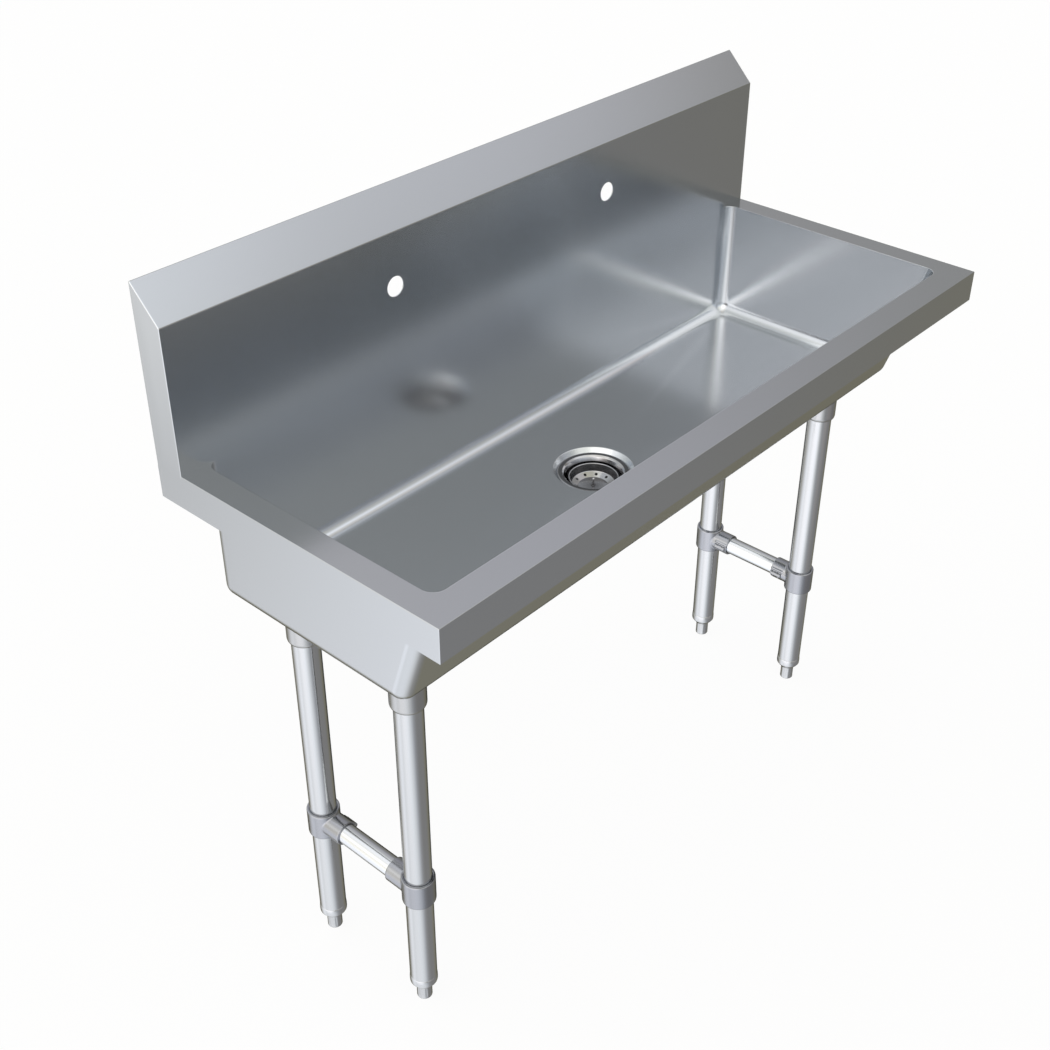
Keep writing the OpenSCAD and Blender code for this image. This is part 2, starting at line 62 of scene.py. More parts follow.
# a thread's radius falls by this for each pitch of distance from the crest
THREAD_FALL = 0.0011
# how strongly normals follow the larger faces
NORMAL_WEIGHT = 80


# Shader work


class ShaderBoard:
    """The node tree of one material, with short calls to add and join nodes."""

    def __init__(self, name: str) -> None:
        """Starts an empty material.

        Args:
            name: name of the material.
        """
        self.material = bpy.data.materials.new(name)
        self.material.use_nodes = True
        self.tree = self.material.node_tree
        self.tree.nodes.clear()
        self.output = self.add("ShaderNodeOutputMaterial")

    def add(self, kind: str, **inputs: object) -> bpy.types.ShaderNode:
        """Adds a node.

        Args:
            kind: Blender's name of the node type.
            inputs: socket values by socket name, with _ for a space.

        Returns:
            The node.
        """
        node = self.tree.nodes.new(kind)
        for key, value in inputs.items():
            node.inputs[key.replace("_", " ")].default_value = value
        return node

    def join(self, source: bpy.types.NodeSocket, target: bpy.types.NodeSocket) -> None:
        """Links two sockets.

        Args:
            source: the output socket.
            target: the input socket.
        """
        self.tree.links.new(source, target)

    def feed(self, value: bpy.types.NodeSocket | float, target: bpy.types.NodeSocket) -> None:
        """Gives an input socket its value.

        Args:
            value: an output socket or a number.
            target: the input socket.
        """
        if isinstance(value, (int, float)):
            target.default_value = value
        else:
            self.join(value, target)

    def calculate(
        self, operation: str, *values: bpy.types.NodeSocket | float
    ) -> bpy.types.NodeSocket:
        """Works out a number.

        Args:
            operation: Blender's name of the operation.
            values: sockets or numbers, in the operation's order.

        Returns:
            The result.
        """
        node = self.add("ShaderNodeMath")
        node.operation = operation
        for value, target in zip(values, node.inputs):
            self.feed(value, target)
        return node.outputs[0]

    def noise(self, stretch: Triple, scale: float, detail: float = 3.0) -> bpy.types.NodeSocket:
        """A noise on the object's own coordinates, stretched on each axis.

        Args:
            stretch: factor on X, Y and Z before the noise.
            scale: noise scale, in turns a metre.
            detail: octaves.

        Returns:
            The factor socket, about 0 to 1.
        """
        place = self.add("ShaderNodeTexCoord").outputs["Object"]
        mapping = self.add("ShaderNodeMapping", Scale=stretch)
        self.join(place, mapping.inputs["Vector"])
        texture = self.add("ShaderNodeTexNoise", Scale=scale, Detail=detail, Roughness=0.6)
        self.join(mapping.outputs["Vector"], texture.inputs["Vector"])
        return texture.outputs["Fac"]

    def remap(self, source: bpy.types.NodeSocket, low: float, high: float) -> bpy.types.NodeSocket:
        """Spreads a 0.3 to 0.7 factor over low to high.

        Args:
            source: a noise factor, which lies mostly between 0.3 and 0.7.
            low: result at 0.3.
            high: result at 0.7.

        Returns:
            The spread value.
        """
        node = self.add("ShaderNodeMapRange", From_Min=0.3, From_Max=0.7, To_Min=low, To_Max=high)
        self.join(source, node.inputs["Value"])
        return node.outputs["Result"]

    def blend(
        self,
        factor: bpy.types.NodeSocket,
        first: bpy.types.NodeSocket | float,
        second: bpy.types.NodeSocket | float,
    ) -> bpy.types.NodeSocket:
        """Mixes two factors.

        Args:
            factor: 0 gives the first, 1 the second.
            first: a socket or a number.
            second: a socket or a number.

        Returns:
            The mixed value.
        """
        node = self.add("ShaderNodeMix")
        self.join(factor, node.inputs["Factor"])
        self.feed(first, node.inputs["A"])
        self.feed(second, node.inputs["B"])
        return node.outputs["Result"]


class Grain(Enum):
    """Which way the brushing of a finish runs."""

    SHEET = "along X, but along Y on the ends"
    UPRIGHT = "along Z"
    CROSSWISE = "along Y"
    NONE = "no direction"


@dataclass(frozen=True)
class MetalFinish:
    """A bare metal finish.

    The brushing is a noise drawn out along the grain; it stirs the roughness and lifts a
    faint bump. A broad, slow noise gives the cloudy, hand-rubbed look of the sheet. Where a
    piece's own point attribute of painted tone rises from 0 to 1, the colour is multiplied by
    the painted tone factor and the roughness goes over to a second roughness. That factor is
    painted light and shade: above 1 it paints in highlights and reflections, below 1 shade and
    dark reflections. It was set to match the photograph and stays the same under any light;
    only the change of roughness is a real finish.
    """

    name: str
    colour: Triple
    roughness: float
    grain: Grain = Grain.SHEET
    rough_spread: float = 0.02
    cloud: float = 0.012
    grain_bump: float = 0.03
    pitted: bool = False
    # roughness, and colour factor of painted light (above 1) or painted shade (below 1), where a
    # piece's painted tone share is 1
    painted_part_roughness: float = 0.2
    painted_tone_factor: float = 1.3

    def build(self) -> bpy.types.Material:
        """Makes the material of the finish.

        Returns:
            The material.
        """
        board = ShaderBoard(self.name)
        metal = board.add("ShaderNodeBsdfPrincipled", Metallic=1.0)
        board.join(metal.outputs["BSDF"], board.output.inputs["Surface"])

        brushed = self._brushing(board)
        cloudy = board.noise((1.0, 1.0, 1.0), 7.0, 2.0)

        shade = board.add("ShaderNodeMix")
        shade.data_type = "RGBA"
        dark = tuple(c * (1.0 - self.cloud) for c in self.colour)
        light = tuple(min(1.0, c * (1.0 + self.cloud)) for c in self.colour)
        shade.inputs["A"].default_value = (*dark, 1.0)
        shade.inputs["B"].default_value = (*light, 1.0)
        board.join(board.blend(brushed, cloudy, 0.5), shade.inputs["Factor"])
        # painted light and shade: the colour is scaled by the painted tone factor where the piece's
        # attribute rises
        painted_tone = board.add("ShaderNodeAttribute")
        painted_tone.attribute_name = "painted_tone"
        tone = board.blend(painted_tone.outputs["Fac"], 1.0, self.painted_tone_factor)
        scaled = board.add("ShaderNodeVectorMath")
        scaled.operation = "SCALE"
        board.join(shade.outputs["Result"], scaled.inputs[0])
        board.join(tone, scaled.inputs["Scale"])
        board.join(scaled.outputs["Vector"], metal.inputs["Base Color"])

        fine = board.remap(brushed, -self.rough_spread, self.rough_spread)
        broad = board.remap(cloudy, -0.4 * self.rough_spread, 0.4 * self.rough_spread)
        level = board.blend(painted_tone.outputs["Fac"], self.roughness, self.painted_part_roughness)
        roughness = board.calculate("ADD", board.calculate("ADD", fine, broad), level)
        board.join(roughness, metal.inputs["Roughness"])

        bump = board.add("ShaderNodeBump", Strength=self.grain_bump, Distance=0.00003)
        board.join(brushed, bump.inputs["Height"])
        if self.pitted:
            pits = board.noise((1.0, 1.0, 1.0), 900.0, 4.0)
            cast = board.add("ShaderNodeBump", Strength=0.35, Distance=0.0003)
            board.join(pits, cast.inputs["Height"])
            board.join(bump.outputs["Normal"], cast.inputs["Normal"])
            bump = cast
        board.join(bump.outputs["Normal"], metal.inputs["Normal"])
        return board.material

    def _brushing(self, board: ShaderBoard) -> bpy.types.NodeSocket:
        """The brushing noise of the finish.

        Args:
            board: the material being made.

        Returns:
            The factor socket.
        """
        if self.grain is Grain.UPRIGHT:
            return board.noise((1.0, 1.0, GRAIN_STRETCH), GRAIN_TURNS)
        if self.grain is Grain.CROSSWISE:
            return board.noise((1.0, GRAIN_STRETCH, 1.0), GRAIN_TURNS)
        if self.grain is Grain.NONE:
            return board.noise((1.0, 1.0, 1.0), 700.0)
        along = board.noise((GRAIN_STRETCH, 1.0, 1.0), GRAIN_TURNS)
        across = board.noise((1.0, GRAIN_STRETCH, 1.0), GRAIN_TURNS)
        facing = board.add("ShaderNodeSeparateXYZ")
        board.join(board.add("ShaderNodeNewGeometry").outputs["Normal"], facing.inputs[0])
        sideways = board.calculate("ABSOLUTE", facing.outputs["X"])
        end_on = board.calculate("GREATER_THAN", sideways, 0.75)
        return board.blend(end_on, along, across)


@dataclass(frozen=True)
class DullFinish:
    """Rubber or fibre: no metal, with a fine grain in colour and bump."""

    name: str
    colour: Triple
    roughness: float

    def build(self) -> bpy.types.Material:
        """Makes the material of the finish.

        Returns:
            The material.
        """
        board = ShaderBoard(self.name)
        body = board.add("ShaderNodeBsdfPrincipled", Metallic=0.0)
        board.join(body.outputs["BSDF"], board.output.inputs["Surface"])
        grain = board.noise((1.0, 1.0, 1.0), 600.0)
        shade = board.add("ShaderNodeMix")
        shade.data_type = "RGBA"
        shade.inputs["A"].default_value = (*(c * 0.8 for c in self.colour), 1.0)
        shade.inputs["B"].default_value = (*(c * 1.2 for c in self.colour), 1.0)
        board.join(grain, shade.inputs["Factor"])
        board.join(shade.outputs["Result"], body.inputs["Base Color"])
        board.join(
            board.remap(grain, self.roughness - 0.06, self.roughness + 0.06),
            body.inputs["Roughness"],
        )
        bump = board.add("ShaderNodeBump", Strength=0.2, Distance=0.0001)
        board.join(grain, bump.inputs["Height"])
        board.join(bump.outputs["Normal"], body.inputs["Normal"])
        return board.material


STEEL = (0.56, 0.58, 0.605)


@dataclass
class Finishes:
    """All the finishes of the sink, each built once."""

    # the sheet's painted tone factor, 1.3 by default, paints highlights in where a piece asks for
    # it
    sheet: MetalFinish = MetalFinish("satin_sheet", STEEL, 0.18)
    tube: MetalFinish = MetalFinish("satin_tube", (0.57, 0.582, 0.597), 0.16, Grain.UPRIGHT)
    # light colour with a darker painted tone: painted light on one side of the cross tube and
    # painted shade on the rest
    cross: MetalFinish = MetalFinish(
        "satin_cross_tube",
        (0.735, 0.755, 0.785),
        0.14,
        Grain.CROSSWISE,
        painted_part_roughness=0.14,
        painted_tone_factor=0.66,
    )
    cast: MetalFinish = MetalFinish(
        "cast_clamp", (0.37, 0.38, 0.41), 0.13, Grain.NONE, 0.04, 0.05, 0.1, True
    )
    turned: MetalFinish = MetalFinish("turned_steel", (0.52, 0.53, 0.54), 0.22, Grain.NONE)
    # its painted tone factor below 1 paints shade and dark reflections into the drain's recesses
    drain: MetalFinish = MetalFinish(
        "polished_drain",
        (0.56, 0.56, 0.58),
        0.12,
        Grain.NONE,
        painted_part_roughness=0.22,
        painted_tone_factor=0.33,
    )
    socket: MetalFinish = MetalFinish("satin_socket", (0.47, 0.475, 0.48), 0.18, Grain.NONE)
    screw: MetalFinish = MetalFinish("screw_steel", (0.30, 0.30, 0.31), 0.35, Grain.NONE)
    weld: MetalFinish = MetalFinish("weld_bead", (0.42, 0.42, 0.43), 0.34, Grain.NONE)
    rubber: DullFinish = DullFinish("black_rubber", (0.015, 0.015, 0.016), 0.6)
    fibre: DullFinish = DullFinish("friction_fibre", (0.22, 0.16, 0.09), 0.75)
    made: dict[str, bpy.types.Material] = field(default_factory=dict)

    def of(self, finish: MetalFinish | DullFinish) -> bpy.types.Material:
        """The material of a finish, made the first time it is asked for.

        Args:
            finish: one of the finishes.

        Returns:
            Its material.
        """
        if finish.name not in self.made:
            self.made[finish.name] = finish.build()
        return self.made[finish.name]


# Mesh work


class Shell:
    """Collects grids of points and puts them into one mesh."""

    def __init__(self) -> None:
        """Starts with no points and no faces."""
        self.points: list[np.ndarray] = []
        self.faces: list[np.ndarray] = []
        self.painted_tone: list[np.ndarray] = []
        self.count = 0

    def grid(
        self,
        points: np.ndarray,
        wrap_u: bool = False,
        wrap_v: bool = False,
        leave_out: np.ndarray | None = None,
        painted_tone: np.ndarray | float = 0.0,
    ) -> None:
        """Adds a surface, one four-sided face for each cell of its grid.

        Args:
            points: array (u, v, 3) of places.
            wrap_u: the last row joins the first.
            wrap_v: the last column joins the first.
            leave_out: array (cells in u, cells in v), true where no face goes.
            painted_tone: share of the finish's painted light or shade, 0 to 1, each point or all.
        """
        rows, columns = points.shape[:2]
        index = np.arange(rows * columns).reshape(rows, columns) + self.count
        if wrap_u:
            index = np.concatenate([index, index[:1]], axis=0)
        if wrap_v:
            index = np.concatenate([index, index[:, :1]], axis=1)
        cells = np.stack((index[:-1, :-1], index[1:, :-1], index[1:, 1:], index[:-1, 1:]), axis=-1)
        if leave_out is not None:
            cells = cells[~leave_out]
        self.faces.append(cells.reshape(-1, 4))
        self.points.append(np.asarray(points, float).reshape(-1, 3))
        self.painted_tone.append(np.broadcast_to(painted_tone, (rows, columns)).reshape(-1))
        self.count += rows * columns

    def turned(
        self,
        profile: np.ndarray,
        place: Triple,
        steps: int = 96,
        closed: bool = False,
        painted_tone: np.ndarray | float = 0.0,
    ) -> None:
        """Turns a profile round an upright axis.

        A point of the surface is the profile's radius times the unit circle, at its height.

        Args:
            profile: array (n, 2) of radius and height; radius 0 closes a pole.
            place: X, Y and Z of the foot of the axis.
            steps: points round the circle.
            closed: the profile's end joins its start.
            painted_tone: share of the painted light or shade, for each point of the profile or all.
        """
        angle = circle_angles(steps)[:, None]
        ring = polar(angle, profile[None, :, 0], profile[None, :, 1])
        self.grid(ring + np.asarray(place), wrap_u=True, wrap_v=closed, painted_tone=painted_tone)

    def bead(self, path: np.ndarray, radius: float, ripple: float = 0.18) -> None:
        """Lays a weld bead along a closed path.

        The bead is a circle carried along the path. Its radius swells and falls along the
        path as the absolute value of a sine, which gives the row of scales of a weld.

        Args:
            path: array (n, 3) of places, evenly spaced.
            radius: radius of the bead.
            ripple: share of the radius that the scales take.
        """
        ahead = np.roll(path, -1, axis=0) - np.roll(path, 1, axis=0)
        ahead /= np.linalg.norm(ahead, axis=1, keepdims=True)
        side = np.cross(ahead, (0.0, 0.0, 1.0))
        scale = 1.0 - ripple + ripple * np.abs(np.sin(np.arange(len(path)) * math.pi / 6.0))
        angle = circle_angles(10)[None, :, None]
        ring = np.cos(angle) * side[:, None] + np.sin(angle) * np.array([0.0, 0.0, 1.0])
        self.grid(path[:, None] + radius * scale[:, None, None] * ring, True, True)

    def build(
        self, name: str, body: str, finish: bpy.types.Material, sharp: float = 35.0
    ) -> bpy.types.Object:
        """Makes the object: merges shared points, turns faces outwards and smooths them.

        Args:
            name: name of the piece.
            body: the body that it rides on.
            finish: its material.
            sharp: edges steeper than this many degrees stay crisp.

        Returns:
            The object.
        """
        points = np.concatenate(self.points).astype(np.float32)
        faces = np.concatenate(self.faces).astype(np.int32)
        mesh = bpy.data.meshes.new(name)
        mesh.vertices.add(len(points))
        mesh.vertices.foreach_set("co", points.ravel())
        mesh.loops.add(faces.size)
        mesh.loops.foreach_set("vertex_index", faces.ravel())
        mesh.polygons.add(len(faces))
        mesh.polygons.foreach_set("loop_start", np.arange(0, faces.size, 4, dtype=np.int32))
        mesh.update(calc_edges=True)
        # each point's share of painted light or shade, which the finish reads
        painted_tone = mesh.attributes.new("painted_tone", "FLOAT", "POINT")
        painted_tone.data.foreach_set("value", np.concatenate(self.painted_tone).astype(np.float32))
        work = bmesh.new()
        work.from_mesh(mesh)
        bmesh.ops.remove_doubles(work, verts=work.verts, dist=MERGE)
        bmesh.ops.recalc_face_normals(work, faces=work.faces)
        work.to_mesh(mesh)
        work.free()
        mesh.validate()
        mesh.shade_smooth()
        mesh.set_sharp_from_angle(angle=math.radians(sharp))
        mesh.materials.append(finish)
        piece = bpy.data.objects.new(name, mesh)
        bpy.context.scene.collection.objects.link(piece)
        even = piece.modifiers.new("normals", "WEIGHTED_NORMAL")
        even.weight = NORMAL_WEIGHT
        even.keep_sharp = True
        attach(piece, body)
        LOG.info("piece %s: %d faces, rides on %s", name, len(mesh.polygons), body)
        return piece


def circle_angles(steps: int) -> np.ndarray:
    """Angles evenly round a circle.

    Args:
        steps: how many.

    Returns:
        Array (steps) of radians, from 0.
    """
    return np.linspace(0.0, 2.0 * math.pi, steps, endpoint=False)


def square_points(parts: int) -> np.ndarray:
    """Points evenly round the square from -1 to 1, counterclockwise from its low corner.

    Args:
        parts: points on each side.

    Returns:
        Array (4 * parts, 2).
    """
    side, one = np.linspace(-1.0, 1.0, parts + 1)[:-1], np.ones(parts)
    across = np.concatenate([side, one, -side, -one])
    return np.column_stack([across, np.concatenate([-one, side, one, -side])])


def polar(
    angle: np.ndarray, radius: np.ndarray | float, height: np.ndarray | float
) -> np.ndarray:
    """Places from angle, radius and height: radius times the unit circle, at the height.

    Args:
        angle: array of angles in radians.
        radius: a radius, or an array of radii that fits the angles.
        height: a height, or an array of heights that fits both.

    Returns:
        Array of places, one axis more than the inputs.
    """
    x, y, z = np.broadcast_arrays(np.cos(angle) * radius, np.sin(angle) * radius, height)
    return np.stack([x, y, z], axis=-1)


def rounded(corners: list[Triple], steps: int = 5, closed: bool = False) -> np.ndarray:
    """Rounds the corners of a flat line.

    At each corner an arc of the given radius touches both sides. The points of the arc are
    its middle plus two directions blended by sines, which turns evenly from side to side.

    Args:
        corners: first coordinate, second coordinate and corner radius of each point.
        steps: points on each arc.
        closed: the last corner joins the first.

    Returns:
        Array (n, 2) of points.
    """
    line = np.array(corners, float)
    if closed:
        line = np.concatenate([line[-1:], line, line[:1]])
    out: list[np.ndarray] = [] if closed else [line[0, :2]]
    for before, here, after in zip(line[:-2], line[1:-1], line[2:]):
        back, ahead = before[:2] - here[:2], after[:2] - here[:2]
        back /= np.linalg.norm(back)
        ahead /= np.linalg.norm(ahead)
        half = math.acos(float(np.clip(back @ ahead, -1.0, 1.0))) / 2.0
        if here[2] <= 0.0 or half > math.pi / 2 - 0.02:
            out.append(here[:2])
            continue
        reach = here[2] / math.tan(half)
        bisector = (back + ahead) / np.linalg.norm(back + ahead)
        middle = here[:2] + bisector * here[2] / math.sin(half)
        first, last = here[:2] + back * reach - middle, here[:2] + ahead * reach - middle
        out.extend(middle + between(first, last, steps))
    if not closed:
        out.append(line[-1, :2])
    return np.array(out)


def ramp(value: np.ndarray, low: float, high: float) -> np.ndarray:
    """A share that goes evenly from 0 to 1 between two numbers and stays level outside them.

    Args:
        value: array of numbers.
        low: the number where the share is 0.
        high: the number where the share is 1; it may be the lesser one.

    Returns:
        Array of shares.
    """
    return np.clip((value - low) / (high - low), 0.0, 1.0)


def between(first: np.ndarray, last: np.ndarray, steps: int) -> np.ndarray:
    """Arms of one length turned evenly from first to last, both ends included.

    Args:
        first: the first arm.
        last: the last arm, as long as the first.
        steps: how many arms.

    Returns:
        Array (steps, dimensions).
    """
    length = float(np.linalg.norm(first))
    sweep = math.acos(float(np.clip(first @ last / length**2, -1.0, 1.0)))
    part = np.linspace(0.0, 1.0, steps)[:, None]
    return (np.sin((1 - part) * sweep) * first + np.sin(part * sweep) * last) / math.sin(sweep)


# Sheet work


@dataclass
class TroughBowl:
    """The coved trough: one sheet whose walls bend round a ball carried along its cove line.

    The middles of the cove radius form a flat rectangle above the floor. Every point of the
    sheet is such a middle plus a radius times a direction: square to a wall on the wall, turned
    evenly from there to straight down in the cove, straight down on the floor.
    """

    half_length: float = 0.5525
    back: float = 0.1836
    front: float = -0.12614
    rim: float = 0.876
    floor: float = 0.673
    radius: float = 0.019
    sheet: float = 0.0016
    lean: float = math.radians(17.9161)
    rim_round: float = 0.0005
    drain_y: float = 0.02873
    recess_top: float = 0.06225
    recess_drop: float = 0.0076
    recess_run: float = 0.006
    recess_lap: float = 0.006
    hole: float = 0.0486
    corner_steps: int = 17
    cove_steps: int = 15
    rays: int = 160
    # the leaning front wall gets painted light, from one share of facing front up to the other
    lean_painted_light: tuple[float, float] = (0.2, 0.8)

    def _columns(self) -> tuple[np.ndarray, np.ndarray, np.ndarray]:
        """The cove middles round the bowl, their wall directions and the slope of the wall.

        On a side, a middle lies where a ray from the drain meets the rectangle; at a corner
        the middle stays and the direction turns.

        Returns:
            Arrays (n, 3) of middles, outward directions, and steps up the wall for each metre
            of height.
        """
        x, back, front = self.half_length, self.back, self.front
        corners = np.array([(x, front), (x, back), (-x, back), (-x, front)])
        leaning = np.array([0.0, -math.cos(self.lean), -math.sin(self.lean)])
        walls = [np.array([1.0, 0.0, 0.0]), np.array([0.0, 1.0, 0.0]), np.array([-1.0, 0.0, 0.0])]
        walls.append(leaning)
        hub = np.array([0.0, self.drain_y])
        middles, outwards = [], []
        for side, here in enumerate(walls):
            start, end = corners[side], corners[(side + 1) % 4]
            from_hub, to_hub = start - hub, end - hub
            first = math.atan2(from_hub[1], from_hub[0])
            span = (math.atan2(to_hub[1], to_hub[0]) - first) % (2.0 * math.pi)
            count = max(4, round(self.rays * span / (2.0 * math.pi)))
            angle = first + np.linspace(0.0, span, count + 1)[1:-1]
            ray = np.stack([np.cos(angle), np.sin(angle)], axis=-1)
            along = end - start
            cross = ray[:, 0] * along[1] - ray[:, 1] * along[0]
            share = (ray[:, 1] * from_hub[0] - ray[:, 0] * from_hub[1]) / cross
            flat = start + share[:, None] * along
            middles.append(np.column_stack([flat, np.zeros(len(flat))]))
            outwards.append(np.broadcast_to(here, (len(flat), 3)))
            fan = between(here, walls[(side + 1) % 4], self.corner_steps)
            middles.append(np.broadcast_to([*end, 0.0], fan.shape))
            outwards.append(fan)
        middle, outward = np.concatenate(middles), np.concatenate(outwards)
        middle[:, 2] = self.floor + self.radius
        share = np.clip((back - middle[:, 1]) / (back - front), 0.0, 1.0)
        tilt = -math.tan(self.lean) * share
        slope = np.stack([np.zeros(len(share)), tilt, np.ones(len(share))], axis=-1)
        return middle, outward, slope

    def _face(self, reach: float) -> np.ndarray:
        """One face of the sheet, from the rim down to the edge of the floor.

        Args:
            reach: distance from the cove middles: the radius inside, with the sheet outside.

        Returns:
            Array (columns, rows, 3).
        """
        middle, outward, slope = self._columns()
        top = self.rim - middle[:, 2] - reach * outward[:, 2]
        foot = middle + reach * outward
        if reach > self.radius:
            wall = foot[:, None] + np.stack([top[:, None] * slope], axis=1)
        else:
            # a small round leads from the rim into the wall, but not along the back
            round_off = self.rim_round * np.clip(6.0 * (1.0 - outward[:, 1]), 0.03, 1.0)
            level = outward * (1.0, 1.0, 0.0)
            level /= np.linalg.norm(level, axis=1, keepdims=True)
            turn = np.linspace(0.0, math.pi / 2, 5)[None, :, None]
            corner = foot + top[:, None] * slope
            wall = (
                corner[:, None]
                + (1.0 - np.sin(turn)) * (round_off[:, None] * level)[:, None]
                - (1.0 - np.cos(turn)) * (round_off[:, None] * slope)[:, None]
            )
        down = np.array([0.0, 0.0, -1.0])
        sweep = np.arccos(np.clip(outward @ down, -1.0, 1.0))[:, None, None]
        part = np.linspace(0.0, 1.0, self.cove_steps)[None, :, None]
        way = np.sin((1 - part) * sweep) * outward[:, None] + np.sin(part * sweep) * down
        cove = middle[:, None] + reach * way / np.sin(sweep)
        return np.concatenate([wall, cove], axis=1)

    def rim_corner(self, side: float, rear: bool) -> np.ndarray:
        """Outline of the sheet at the rim round one corner, counterclockwise from above.

        Args:
            side: -1 for the left end, 1 for the right.
            rear: at the back, otherwise at the front.

        Returns:
            Array (corner_steps, 2).
        """
        middle = self._columns()[0]
        corner = (side * self.half_length, self.back if rear else self.front)
        at = np.isclose(middle[:, :2], corner).all(axis=1)
        return self._face(self.radius + self.sheet)[at, 0, :2]

    def _recess(self) -> np.ndarray:
        """The stamped recess: from the floor down to the drain hole and back underneath.

        Returns:
            Array (columns, rows, 3), each column at the angle of its cove middle.
        """
        t, drop = self.sheet, self.recess_drop
        top, low = self.recess_top, self.recess_top - self.recess_run
        bend = t * math.tan(math.atan2(drop, self.recess_run) / 2.0)
        upper = rounded(
            [
                (top + self.recess_lap, 0.0, 0.0),
                (top, 0.0, 0.0018),
                (low, -drop, 0.0012),
                (self.hole, -drop, 0.0),
            ]
        )
        lower = rounded(
            [
                (self.hole, -drop - t, 0.0),
                (low + bend, -drop - t, 0.0028),
                (top + bend, -t, 0.0006),
                (top + self.recess_lap, -t, 0.0),
            ]
        )
        line = np.concatenate([upper, lower])
        middle = self._columns()[0]
        angle = np.arctan2(middle[:, 1] - self.drain_y, middle[:, 0])[:, None]
        ring = polar(angle, line[None, :, 0], line[None, :, 1])
        return ring + (0.0, self.drain_y, self.floor)

    def _painted_highlights(self, rows: np.ndarray, inner: int) -> np.ndarray:
        """Where the sheet gets painted highlights: coves, upright corners, front wall, recess
        slope.

        In a corner the share grows with the square root of how far the wall direction has
        turned from its nearest axis; across a cove it is the square root of a half sine.

        Args:
            rows: all points of the sheet, array (columns, rows, 3).
            inner: how many of the rows belong to the inner face.

        Returns:
            Array (columns, rows) of shares from 0 to 1.
        """
        outward = self._columns()[1]
        corner = np.sqrt(np.clip(1.0 - np.abs(outward).max(axis=1), 0.0, 0.25)) * 2.0
        leaning = ramp(-outward[:, 1], *self.lean_painted_light)
        share = np.zeros(rows.shape[:2])
        share[:, :inner] = np.maximum(corner, leaning)[:, None]
        curve = np.sin(np.linspace(0.0, math.pi, self.cove_steps)) ** 0.5
        cove = slice(inner - self.cove_steps, inner)
        share[:, cove] = np.maximum(share[:, cove], curve)
        reach = np.hypot(rows[..., 0], rows[..., 1] - self.drain_y)
        sloping = (reach < self.recess_top) & (reach > self.recess_top - self.recess_run)
        return np.clip(np.maximum(share, sloping), 0.0, 1.0)

    def build(self, finishes: Finishes) -> None:
        """Builds the bowl, which stands for its node.

        Args:
            finishes: the finishes of the sink.
        """
        inside, outside = self._face(self.radius), self._face(self.radius + self.sheet)
        rows = np.concatenate([inside, self._recess(), outside[:, ::-1]], axis=1)
        shell = Shell()
        # painted highlights in the coves, upright corners, front wall and recess slope
        shell.grid(rows, True, True, painted_tone=self._painted_highlights(rows, inside.shape[1]))
        piece = shell.build("bowl_sheet", "sink", finishes.of(finishes.sheet))
        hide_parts("bowl")


